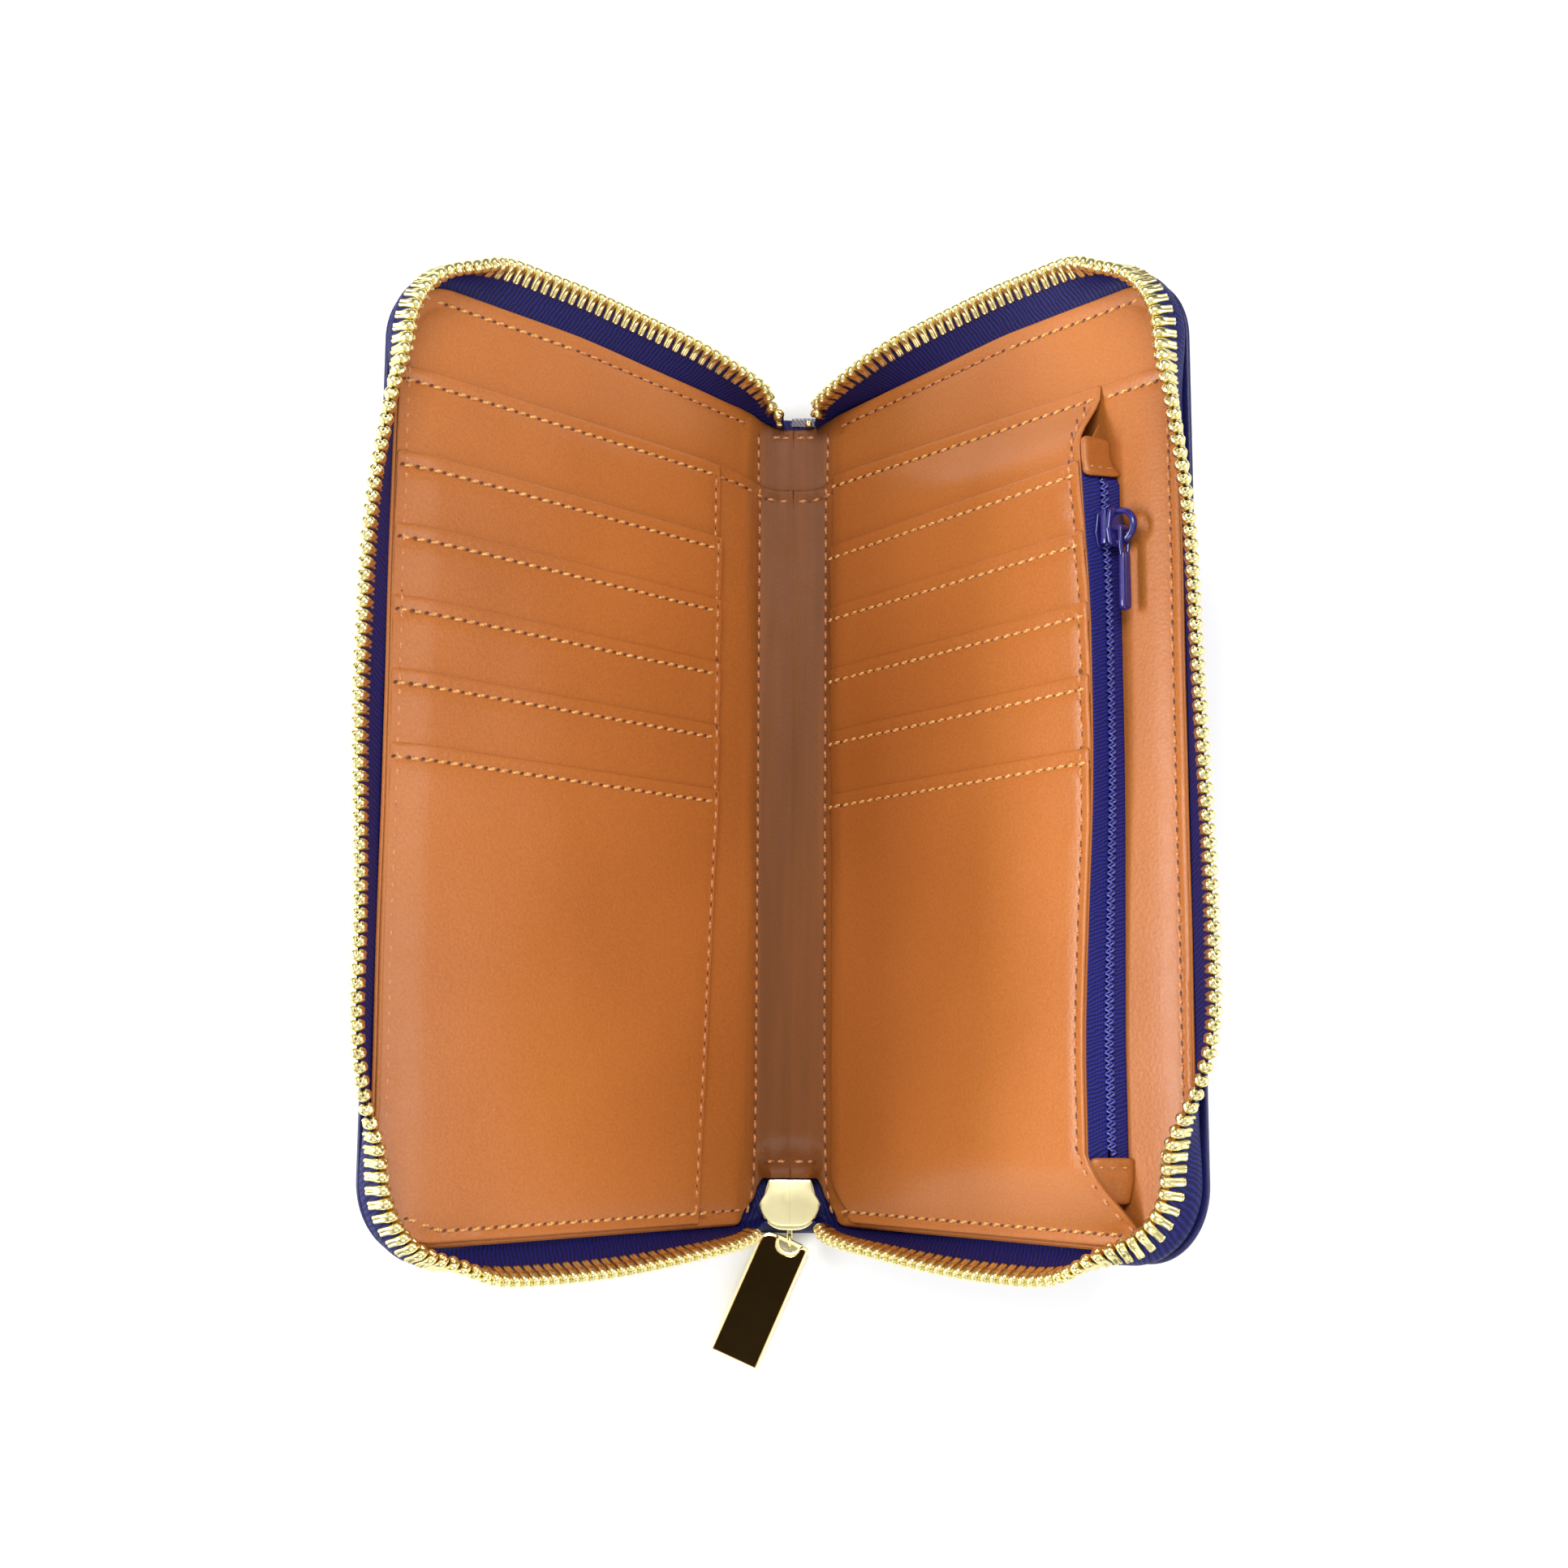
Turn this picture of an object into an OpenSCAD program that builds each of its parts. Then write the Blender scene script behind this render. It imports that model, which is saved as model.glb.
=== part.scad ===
// Zip-around travel wallet and passport holder, lying open on its spine.
// Each cover is drawn in its own frame: x runs out from the fold, y along the
// spine and z from the cover's outside towards its inside. Millimetres.

/* [Case] */
// Height of the covers along the spine
case_height = 201; // [170:1:230]
// Width of one cover from its fold to its outer edge
cover_width = 109.5; // [95:0.5:125]
// Width of the spine between its two folds
spine_width = 18.45; // [17:0.05:26]
// Radius of the covers' outer corners
corner_radius = 16; // [8:1:24]
// Angle of the left cover from its closed position
open_left = 42.5; // [0:0.5:90]
// Angle of the right cover from its closed position
open_right = 39.8; // [0:0.1:90]

/* [Sheets] */
// Thickness of the outer leather
outer_leather = 1.2; // [0.8:0.1:1.6]
// Thickness of the stiffener boards
board = 0.8; // [0.5:0.1:1.2]
// Thickness of the lining and slip pocket leather
lining = 0.6; // [0.4:0.1:0.8]
// Thickness of one card pocket sheet
card_sheet = 0.5; // [0.3:0.05:0.55]
// Gap left between neighbouring sheets
sheet_gap = 0.05; // [0.02:0.01:0.1]

/* [Pockets] */
// Stitched width inside a card pocket
card_width = 88; // [87:0.5:92]
// Height of the slip pocket's top edge above the middle
slip_top = 79; // [70:1:88]
// Height of the first card pocket's edge above the middle
first_card_top = 61; // [50:1:66]
// Step from one card pocket's edge to the next
card_step = 15; // [12:0.5:18]
// How far the zip pocket's front panel stands off at its outer edge
pocket_lift = 6; // [2:0.5:6.5]

/* [Main zip] */
// Distance from one tooth to the next
tooth_pitch = 2.66; // [2.4:0.02:3.2]
// Width of tape that stands out of the seam
tape_reach = 9.7; // [7:0.1:10]
// Outward lean of the tape along the straight sides
lean_run = 48; // [45:1:60]
// Outward lean of the tape round the corners
lean_corner = 10; // [0:1:20]
// Thickness of the woven tape
tape = 0.6; // [0.4:0.05:0.7]

/* [Sliders and pulls] */
// Widest part of the main slider
slider_width = 13.6; // [10:0.1:14]
// Length of the main slider
slider_length = 12; // [10:0.5:14]
// Length of the main pull's bar
pull_length = 30; // [20:1:40]
// Width of the main pull's bar
pull_width = 10.8; // [6:0.2:12]
// Angle of the main pull from the spine's line
pull_angle = 22; // [0:1:35]
// Place of the pocket slider along the pocket zip
pocket_slider_at = 46.5; // [-70:0.5:47]

/* [Hidden] */
fold = spine_width / 2;
clear = 0.3;
eps = 0.01;
leather_colour = [0.68, 0.36, 0.17];
navy = [0.08, 0.08, 0.36];
gold = [0.83, 0.71, 0.40];
board_colour = [0.55, 0.50, 0.42];

// Levels in the cover's frame, outside face of the board at 0
board_top = sheet_gap + board;
lining_low = board_top + sheet_gap;
lining_top = lining_low + lining;
slip_low = lining_top + sheet_gap;
slip_face = slip_low + lining;
panel_low = slip_face + sheet_gap;
panel_face = panel_low + lining;
function card_low(k) = panel_face + sheet_gap + k * (card_sheet + sheet_gap);

// Outlines, as distances from the fold and from the middle of the spine
half = case_height / 2;
board_inner = 3;
board_outer = cover_width - 6;
inner_start = 2.6;
lining_edge = cover_width - 2;
lining_half = half - 2;
dip = 3.5;
dip_length = 60;
cut_across = 6;
cut_up = 11;
left_panel_start = 14.6;
left_panel_end = left_panel_start + card_width + 3;
right_panel_start = 3.2;
right_panel_end = right_panel_start + card_width + 0.4;
pocket_angle = asin(pocket_lift / card_width);
panel_bottom = -lining_half + 1;
card_count = 5;
card_depth = 50;

// The main zip's seam runs round three sides of the cover
seam_edge = cover_width - 2;
seam_half = half - 2;
seam_radius = corner_radius - 1;
seam_start = 5;
flange = 3;
flange_low = 0.1;
turn_out = 0.9;
turn_up = 0.5;
run_top = seam_edge - seam_radius - seam_start;
run_side = 2 * (seam_half - seam_radius);
arc = PI / 2 * seam_radius;
seam_length = 2 * run_top + 2 * arc + run_side;
lean_blend = 30;
end_fade = 22;
end_reach = 0.55;
stand_limit = 7.1;

// Tooth profile: x across the tape, y along it towards the other row
tooth_width = 1.25;
tooth_thick = 2.9;
leg = 2.3;
head = 1.9;
notch = 0.9;
tooth_count = floor((seam_length - 3) / tooth_pitch);

// Pocket zip, in the right cover's frame
chain_x = right_panel_end + 0.5;
chain_z = 5.5;
chain_top = 56.5;
chain_bottom = -80;
tab_length_top = 7.5;
tab_length_bottom = 9;
wall_up = 5.2;
wall_down = chain_z - slip_face - sheet_gap;
row_gap = 0.5;
coil_radius = 0.65;
coil_off = 1.15;
coil_out = 0.95;

// Spine levels and the main slider
spine_board_top = outer_leather + sheet_gap + 0.5;
spine_lining_low = spine_board_top + sheet_gap;
spine_slip_low = spine_lining_low + lining + sheet_gap;
spine_lining_top_end = 90.5;
spine_lining_bottom_end = -87.6;
spine_lining_half = fold - 1.2;
slider_back = -88;
slider_front = slider_back - slider_length;
slider_nose = 9.8;
plate = 1.1;
slider_low = 3.2;
slider_high = 7;
pivot_y = slider_front - 2.3;
pull_thick = 1.6;
pull_low = 1.3;
pivot_z = pull_low + pull_thick / 2;
ring = 0.7;
ring_hole = 1.25;
ring_wall = 0.5;
lug = 1.4;
lug_clear = 2.4;

// Frames
module on_right() {
  translate([fold, 0, outer_leather]) rotate([0, open_right - 90, 0]) children();
}
module on_left() {
  mirror([1, 0, 0]) translate([fold, 0, outer_leather])
    rotate([0, open_left - 90, 0]) children();
}
module on_pocket_front() {
  translate([right_panel_start, 0, panel_low]) rotate([0, -pocket_angle, 0])
    translate([-right_panel_start, 0, -panel_low]) children();
}
module on_pocket_wall() {
  translate([chain_x, 0, chain_z]) children();
}

// Flat shapes
module rounded_outline(x0, x1, y0, y1, r) {
  translate([x0, y0]) square([x1 - r - x0, y1 - y0]);
  translate([x1 - r - eps, y0 + r]) square([r + eps, y1 - y0 - 2 * r]);
  for (y = [y0 + r, y1 - r]) translate([x1 - r, y]) circle(r, $fn = 96);
}
module trimmed_outline(x1, y1, r) {
  // Sheet outline with the dip at the spine's top and the cut beside the slider
  difference() {
    rounded_outline(inner_start, x1, -lining_half, y1, r);
    polygon([[0, y1 + 1], [dip_length, y1 + 1], [dip_length, y1], [inner_start, y1 - dip],
      [0, y1 - dip]]);
    polygon([[0, -lining_half - 1], [cut_across, -lining_half - 1],
      [cut_across, -lining_half], [inner_start, cut_up - lining_half],
      [0, cut_up - lining_half]]);
  }
}
module sheet(low, thick) {
  translate([0, 0, low]) linear_extrude(thick) children();
}
module wall_strip(thick, y0, y1, z0, z1) {
  // A strip of sheet standing in the pocket's side wall
  on_pocket_wall() translate([-thick / 2, y0, z0]) cube([thick, y1 - y0, z1 - z0]);
}

// Sheets of a cover
module cover_exterior() {
  color(navy) sheet(-outer_leather, outer_leather)
    rounded_outline(clear, cover_width, -half, half, corner_radius);
}
module stiffener() {
  color(board_colour) sheet(sheet_gap, board)
    rounded_outline(board_inner, board_outer, -half + 6, half - 6, corner_radius - 6);
}
module cover_lining() {
  color(leather_colour) sheet(lining_low, lining)
    trimmed_outline(lining_edge, lining_half, corner_radius - 2);
}
module slip_pocket() {
  color(leather_colour) sheet(slip_low, lining) difference() {
    trimmed_outline(lining_edge, lining_half, corner_radius - 2);
    translate([0, slip_top]) square([cover_width, half]);
  }
}
module stack_outline(x0, x1, y0, y1) {
  // Rectangle, rounded where it nears the zip and cut where it nears the slider
  difference() {
    intersection() {
      translate([x0, y0]) square([x1 - x0, y1 - y0]);
      rounded_outline(0, lining_edge - 1.6, panel_bottom, lining_half, corner_radius - 3);
    }
    polygon([[0, -84.5], [7, -87], [10, panel_bottom], [10, -half], [0, -half]]);
  }
}
module card_sheet_at(x0, x1, k) {
  top = first_card_top - k * card_step;
  bottom = k == card_count - 1 ? panel_bottom + 0.5 : top - card_depth;
  color(leather_colour) sheet(card_low(k), card_sheet) stack_outline(x0, x1, bottom, top);
}
module panel(x0, x1) {
  color(leather_colour) sheet(panel_low, lining)
    stack_outline(x0, x1, panel_bottom, slip_top);
}

// Spine
module spine_exterior() {
  color(navy) translate([clear - fold, -half, 0])
    cube([spine_width - 2 * clear, case_height, outer_leather]);
}
module spine_stiffener() {
  color(board_colour) translate([-fold + 2, -half + 9, outer_leather + sheet_gap])
    cube([spine_width - 4, case_height - 24, spine_board_top - outer_leather - sheet_gap]);
}
module spine_lining() {
  color(leather_colour) translate([-spine_lining_half, spine_lining_bottom_end,
    spine_lining_low]) cube([2 * spine_lining_half,
    spine_lining_top_end - spine_lining_bottom_end, lining]);
}
module slip_pocket_spine() {
  color(leather_colour) translate([-spine_lining_half, spine_lining_bottom_end + 1,
    spine_slip_low]) cube([2 * spine_lining_half,
    slip_top - dip - spine_lining_bottom_end - 1, lining]);
}
module zip_end_tape_top() {
  color(navy) translate([-5, spine_lining_top_end + 0.3, outer_leather + sheet_gap])
    cube([10, 7, tape]);
  color(navy) translate([-5, spine_lining_top_end + 0.3, outer_leather + sheet_gap])
    cube([10, tape, 3.6]);
}
module zip_top_stops() {
  for (s = [-1, 1]) color(gold)
    translate([s * 3.4 - 0.9, spine_lining_top_end + 1, outer_leather + sheet_gap + 1.2])
      cube([1.8, 2.2, 2.6]);
}
module zip_end_tape_bottom() {
  color(navy) translate([-spine_lining_half, slider_front + 5, spine_lining_low])
    cube([2 * spine_lining_half, spine_lining_bottom_end - slider_front - 5.5, tape]);
}
module zip_bottom_stop() {
  color(gold) translate([-2.6, spine_lining_bottom_end + 1, spine_slip_low + lining + 0.05])
    cube([5.2, 2.6, 1.6]);
}

// Main zip: a point on the seam and its heading, for a distance along it
function seam_point(s) =
  s < run_top ? [seam_start + s, seam_half, 90]
  : s < run_top + arc ? let(a = 90 - (s - run_top) / seam_radius * 180 / PI)
    [seam_edge - seam_radius + seam_radius * cos(a),
     seam_half - seam_radius + seam_radius * sin(a), a]
  : s < run_top + arc + run_side ?
    [seam_edge, seam_half - seam_radius - (s - run_top - arc), 0]
  : s < run_top + 2 * arc + run_side ?
    let(a = -(s - run_top - arc - run_side) / seam_radius * 180 / PI)
    [seam_edge - seam_radius + seam_radius * cos(a),
     -seam_half + seam_radius + seam_radius * sin(a), a]
  : [seam_edge - seam_radius - (s - run_top - 2 * arc - run_side), -seam_half, -90];
function smooth(t) = let(c = max(0, min(1, t))) c * c * (3 - 2 * c);
// Distance from the nearer corner, then the lean and the reach there. The two rows
// meet when the case is shut, so neither stands higher than the limit.
function from_corner(s) =
  max(0, min(abs(s - run_top - arc / 2), abs(s - seam_length + run_top + arc / 2)) - arc / 2);
function lean_at(s) =
  lean_corner + (lean_run - lean_corner) * smooth(from_corner(s) / lean_blend);
function reach_at(s) = let(e = min(s, seam_length - s))
  min(tape_reach * (end_reach + (1 - end_reach) * smooth(e / end_fade)),
    stand_limit / cos(lean_at(s)));
// One cross-section of the tape: flange in the seam, then the standing part
function tape_section(s) = let(a = lean_at(s), r = reach_at(s))
  [[-flange, flange_low], [turn_out - tape * cos(a) * 0.2, flange_low],
   [turn_out + tape * cos(a), turn_up],
   [turn_out + tape * cos(a) + r * sin(a), turn_up + r * cos(a)],
   [turn_out + r * sin(a), turn_up + tape * sin(a) + r * cos(a)],
   [turn_out, turn_up + tape * sin(a) + 0.05], [turn_out - 0.5, flange_low + tape],
   [-flange, flange_low + tape]];
function placed(p, q) = [p[0] + q[0] * cos(p[2]), p[1] + q[0] * sin(p[2]), q[1]];
stations = concat([for (i = [0:8]) i * run_top / 8],
  [for (i = [1:10]) run_top + i * arc / 10],
  [for (i = [1:20]) run_top + arc + i * run_side / 20],
  [for (i = [1:10]) run_top + arc + run_side + i * arc / 10],
  [for (i = [1:8]) run_top + 2 * arc + run_side + i * run_top / 8 * 0.9999]);
module zip_tape() {
  sides = len(tape_section(0));
  last = len(stations) - 1;
  points = [for (s = stations) for (q = tape_section(s)) placed(seam_point(s), q)];
  color(navy) polyhedron(points, concat(
    [[for (j = [0:sides - 1]) j]],
    [[for (j = [sides - 1:-1:0]) last * sides + j]],
    [for (i = [0:last - 1]) for (j = [0:sides - 1]) let(k = (j + 1) % sides)
      each [[i * sides + j, (i + 1) * sides + j, (i + 1) * sides + k],
            [i * sides + j, (i + 1) * sides + k, i * sides + k]]]));
}
module tooth() {
  // Two legs that clamp the tape and a head with its nose
  rotate([90, 0, 0]) translate([0, 0, -tooth_width / 2]) linear_extrude(tooth_width)
    polygon([[-tooth_thick / 2, -leg], [-notch / 2, -leg], [-notch / 2, 0.15],
      [notch / 2, 0.15], [notch / 2, -leg], [tooth_thick / 2, -leg],
      [tooth_thick / 2, head * 0.45], [tooth_thick * 0.27, head],
      [-tooth_thick * 0.27, head], [-tooth_thick / 2, head * 0.45]]);
}
module zip_teeth(shift) {
  // The two rows are half a pitch apart, so that they mesh when the case is shut
  color(gold) for (i = [0:tooth_count - 1]) {
    s = 1.5 + (i + shift) * tooth_pitch;
    p = seam_point(s);
    a = lean_at(s);
    r = reach_at(s);
    translate([p[0], p[1], 0]) rotate([0, 0, p[2]])
      translate([turn_out + tape / 2 * cos(a) + r * sin(a),
        0, turn_up + tape / 2 * sin(a) + r * cos(a)]) rotate([0, a, 0]) tooth();
  }
}

// Pocket zip
module pocket_zip_tapes() {
  y0 = chain_bottom - tab_length_bottom;
  y1 = chain_top + tab_length_top;
  color(navy) wall_strip(tape, y0, y1, row_gap, wall_up);
  color(navy) wall_strip(tape, y0, y1, -wall_down, -row_gap);
}
module pocket_zip_coil() {
  color([0.05, 0.05, 0.16]) on_pocket_wall() for (s = [-1, 1])
    translate([coil_out, chain_top - 0.1, s * coil_off]) rotate([90, 0, 0])
      cylinder(r = coil_radius, h = chain_top - chain_bottom - 0.2, $fn = 24);
}
module pocket_zip_tab(y0, length) {
  color(leather_colour) on_pocket_wall() translate([0.35, y0, -wall_down + 0.1])
    cube([1.1, length, wall_down + wall_up - 0.2]);
}
module pocket_zip_tab_top() { pocket_zip_tab(chain_top, tab_length_top); }
module pocket_zip_tab_bottom() {
  pocket_zip_tab(chain_bottom - tab_length_bottom, tab_length_bottom);
}
module pocket_end_gussets() {
  color(leather_colour) wall_strip(lining, chain_top + tab_length_top + 0.1, slip_top,
    -wall_down, wall_up);
  color(leather_colour) wall_strip(lining, panel_bottom,
    chain_bottom - tab_length_bottom - 0.1, -wall_down, wall_up);
}

// Main slider, drawn where it rests at the open end of the zip
module slider_plate(grow) {
  intersection() {
    translate([0, slider_front + slider_width / 2 - grow])
      circle(slider_width / 2 + grow, $fn = 96);
    translate([-slider_width, slider_front - grow])
      square([2 * slider_width, slider_width / 2 + grow]);
  }
  polygon([[-slider_width / 2, slider_front + slider_width / 2 - grow - eps],
    [slider_width / 2, slider_front + slider_width / 2 - grow - eps],
    [slider_nose / 2, slider_back], [-slider_nose / 2, slider_back]]);
}
module main_slider() {
  channel = slider_high - slider_low - 2 * plate;
  color(gold) {
    translate([0, 0, slider_high - plate]) linear_extrude(plate) slider_plate(0);
    translate([0, 0, slider_low]) linear_extrude(plate) slider_plate(0);
    // Wedge that parts the two rows, and the rails beside the chain
    translate([0, 0, slider_low + plate - eps]) linear_extrude(channel + 2 * eps)
      polygon([[-2, slider_front + 2], [2, slider_front + 2], [0, slider_front + 6.5]]);
    for (s = [-1, 1]) translate([0, 0, slider_low + plate - eps])
      linear_extrude(channel + 2 * eps)
        polygon([[s * (slider_width / 2 - 0.9), slider_front + slider_width / 2],
          [s * (slider_width / 2 - 0.05), slider_front + slider_width / 2],
          [s * (slider_nose / 2 - 0.05), slider_back], [s * (slider_nose / 2 - 0.9),
          slider_back]]);
    // Lug that holds the pull's pin
    difference() {
      union() {
        translate([-lug / 2, slider_front - 1.6, slider_low - 1]) cube([lug, 6, 1.5]);
        translate([lug / 2, pivot_y, pivot_z]) rotate([0, -90, 0])
          cylinder(r = ring_hole + ring_wall, h = lug, $fn = 48);
      }
      translate([lug, pivot_y, pivot_z]) rotate([0, -90, 0])
        cylinder(r = ring_hole, h = 2 * lug, $fn = 48);
    }
  }
}
module main_pull() {
  color(gold) translate([0, pivot_y, 0]) rotate([0, 0, -pull_angle]) {
    difference() {
      translate([-pull_width / 2, 0.9 - pull_length, pull_low])
        cube([pull_width, pull_length, pull_thick]);
      for (s = [-1, 1]) translate([s * pull_width / 2, -pull_length,
        pull_low + pull_thick]) rotate([0, 45, 0])
          translate([-0.6, 0, -0.6]) cube([1.2, pull_length + 2, 1.2]);
      translate([0, 0, pull_low - 1]) cylinder(r = lug_clear, h = pull_thick + 2, $fn = 64);
    }
    // Pin across the slot
    translate([-lug_clear - 0.6, 0, pivot_z]) rotate([0, 90, 0])
      cylinder(r = ring, h = 2 * lug_clear + 1.2, $fn = 32);
  }
}

// Pocket slider and its pull, in the frame of the pocket's side wall
module at_pocket_slider() {
  on_right() on_pocket_wall() translate([0, pocket_slider_at, 0]) children();
}
module pocket_slider() {
  color(navy) at_pocket_slider() {
    translate([1.9, -4, -2.7]) cube([0.9, 8, 5.4]);
    translate([-1.3, -3.6, -2.6]) cube([0.8, 7.2, 4.9]);
    translate([-0.9, 0.6, -0.2]) cube([3, 2.4, 0.4]);
    for (s = [-1, 1]) translate([0.6, -4, s * 2.35 - 0.35]) cube([1.4, 8, 0.7]);
    // Arched bridge
    difference() {
      translate([2.7, -4, -0.7]) cube([4.2, 8, 1.4]);
      translate([2.9, -2.9, -1]) cube([2.9, 5.8, 2]);
    }
  }
}
module pocket_pull() {
  color(navy) at_pocket_slider() translate([4.6, -0.6, 0]) {
    translate([0, 0, -1.8]) cylinder(r = 0.7, h = 3.6, $fn = 32);
    for (s = [-1, 1]) translate([-0.7, -4.9, s * 1.4 - 0.35]) cube([1.4, 4.9, 0.7]);
    translate([-0.7, -17, -1.75]) cube([1.4, 12.3, 3.5]);
  }
}

spine_exterior();
spine_stiffener();
spine_lining();
slip_pocket_spine();
zip_end_tape_top();
zip_end_tape_bottom();
zip_top_stops();
zip_bottom_stop();
on_left() cover_exterior();  // cover_exterior_left
on_left() stiffener();  // stiffener_left
on_left() cover_lining();  // lining_left
on_left() slip_pocket();  // slip_pocket_left
on_left() panel(left_panel_start, left_panel_end);  // card_panel_left
on_left() card_sheet_at(left_panel_start, left_panel_end, 0);  // card_pocket_left_1
on_left() card_sheet_at(left_panel_start, left_panel_end, 1);  // card_pocket_left_2
on_left() card_sheet_at(left_panel_start, left_panel_end, 2);  // card_pocket_left_3
on_left() card_sheet_at(left_panel_start, left_panel_end, 3);  // card_pocket_left_4
on_left() card_sheet_at(left_panel_start, left_panel_end, 4);  // card_pocket_left_5
on_left() zip_tape();  // zip_tape_left
on_left() zip_teeth(0.25);  // zip_teeth_left
on_right() cover_exterior();  // cover_exterior_right
on_right() stiffener();  // stiffener_right
on_right() cover_lining();  // lining_right
on_right() slip_pocket();  // slip_pocket_right
on_right() on_pocket_front() panel(right_panel_start, right_panel_end);  // zip_pocket_front
on_right() on_pocket_front() card_sheet_at(right_panel_start, right_panel_end, 0);  // card_pocket_right_1
on_right() on_pocket_front() card_sheet_at(right_panel_start, right_panel_end, 1);  // card_pocket_right_2
on_right() on_pocket_front() card_sheet_at(right_panel_start, right_panel_end, 2);  // card_pocket_right_3
on_right() on_pocket_front() card_sheet_at(right_panel_start, right_panel_end, 3);  // card_pocket_right_4
on_right() on_pocket_front() card_sheet_at(right_panel_start, right_panel_end, 4);  // card_pocket_right_5
on_right() zip_tape();  // zip_tape_right
on_right() zip_teeth(0.75);  // zip_teeth_right
on_right() pocket_zip_tapes();
on_right() pocket_zip_coil();
on_right() pocket_zip_tab_top();
on_right() pocket_zip_tab_bottom();
on_right() pocket_end_gussets();
main_slider();
main_pull();
pocket_slider();
pocket_pull();
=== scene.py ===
"""Zip-around travel wallet, lying open: leather sheets, woven tapes, stitching and metal over its frame.

Leather and tape are drawn in the frame of a cover: u runs out from the fold, v along the spine and
h away from the outer leather, in millimetres. side is -1 for the left cover and 1 for the right one.
"""
import math

import bpy
import numpy as np
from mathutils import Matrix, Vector, noise
from mathutils.geometry import delaunay_2d_cdt


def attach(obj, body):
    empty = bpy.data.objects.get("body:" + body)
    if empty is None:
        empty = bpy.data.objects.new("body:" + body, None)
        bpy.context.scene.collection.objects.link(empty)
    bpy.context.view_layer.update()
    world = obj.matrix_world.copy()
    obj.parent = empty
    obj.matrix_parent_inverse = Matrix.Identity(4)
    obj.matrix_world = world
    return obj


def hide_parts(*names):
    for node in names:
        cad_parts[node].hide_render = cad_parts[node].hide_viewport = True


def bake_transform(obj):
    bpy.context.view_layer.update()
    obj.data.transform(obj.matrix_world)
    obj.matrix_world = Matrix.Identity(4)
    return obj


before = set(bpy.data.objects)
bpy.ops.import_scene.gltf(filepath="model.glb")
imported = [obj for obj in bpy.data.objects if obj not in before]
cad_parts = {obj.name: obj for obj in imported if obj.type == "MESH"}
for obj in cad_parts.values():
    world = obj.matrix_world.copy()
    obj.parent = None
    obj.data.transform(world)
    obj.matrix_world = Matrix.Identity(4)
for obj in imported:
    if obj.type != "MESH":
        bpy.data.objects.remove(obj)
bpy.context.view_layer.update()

MM = 0.001
NAME = {-1: "left", 1: "right"}
SIDES = (-1, 1)

# The case, as in the CAD model: how far each cover stands open in degrees, then sizes in millimetres
OPEN = {-1: 42.5, 1: 39.8}
FOLD = 9.225
LEATHER = 1.2
HALF = 100.5
COVER = 109.5
CORNER = 16.0
BEND = 5.0
# Undersides of the tan sheets above the outer leather's inner face, and their thickness
LINING_LOW = 0.9
SLIP_LOW = 1.55
PANEL_LOW = 2.2
CARD_LOW = 2.85
CARD_RISE = 0.5
CARD_SHOWN = 19.5
LINING = 0.6
CARD = 0.5
# The card sheets and pocket fronts: their edges along and across a cover
SLOT_TOPS = (61.0, 46.0, 31.0, 16.0, 1.0)
SLIP_TOP = 79.0
BOTTOM = -97.6
STACK_START = {-1: 14.6, 1: 3.2}
STACK_END = {-1: 107.6, 1: 91.6}
STACK_SLANT = 4.6
# How far the zip pocket's front stands off, and the lining's end over the slider
LIFT = 7.2
LIP_RISE = 4.4
# The pocket's chain, the tabs over its ends and the side wall that carries it
CHAIN_U = 92.1
CHAIN_H = 5.5
CHAIN_TOP = 58.0
CHAIN_BOTTOM = -80.0
TAB_TOP = 8.6
TAB_BOTTOM = 9.0
WALL_LOW = 2.2
WALL = 7.3
# The main pull's pin and angle, and the pocket slider's place
PIVOT_Y = -102.3
PIVOT_Z = 2.1
PULL_ANGLE = 24.0
POCKET_SLIDER_V = 46.5
# The stitch line round a cover
SEAM_U = 105.4
SEAM_V = 95.0
# The camera's place in metres, its lens and its angles in degrees
CAMERA_PLACE = (-0.00149, -0.06367, 0.47453)
CAMERA_LENS = 46.06
CAMERA_DIP = 81.83
CAMERA_TURN = 0.31


# ------------------------------------------------------------------ numbers and outlines

def smooth(t):
    """0 to 1 with level ends."""
    t = np.clip(t, 0.0, 1.0)
    return t * t * (3 - 2 * t)


def bell(x, width):
    """1 at 0, falling away on both sides over about width."""
    return np.exp(-(np.asarray(x) / width) ** 2)


def unit(rows):
    """Rows of vectors at length 1."""
    return rows / np.linalg.norm(rows, axis=1)[:, None]


def run_along(path):
    """The distance along a path at each of its points."""
    return np.concatenate([[0], np.cumsum(np.linalg.norm(np.diff(path, axis=0), axis=1))])


def at_run(s, run, values):
    """Columns of values along a path, read off at the distances s."""
    return np.stack([np.interp(s, run, column) for column in values.T], 1)


def flat_at(height):
    """The height function of a sheet that lies level."""
    return lambda u, v: np.full(np.shape(u), height)


def fold_facts(side):
    """Turn, radius, flat length and arc length of the rounded fold."""
    turn = math.radians(90 - OPEN[side])
    radius = BEND / math.tan(turn / 2)
    return turn, radius, FOLD - BEND, radius * turn


def middle(side):
    """The u of the spine's middle line."""
    _, _, flat, arc = fold_facts(side)
    return BEND - flat - arc


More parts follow.
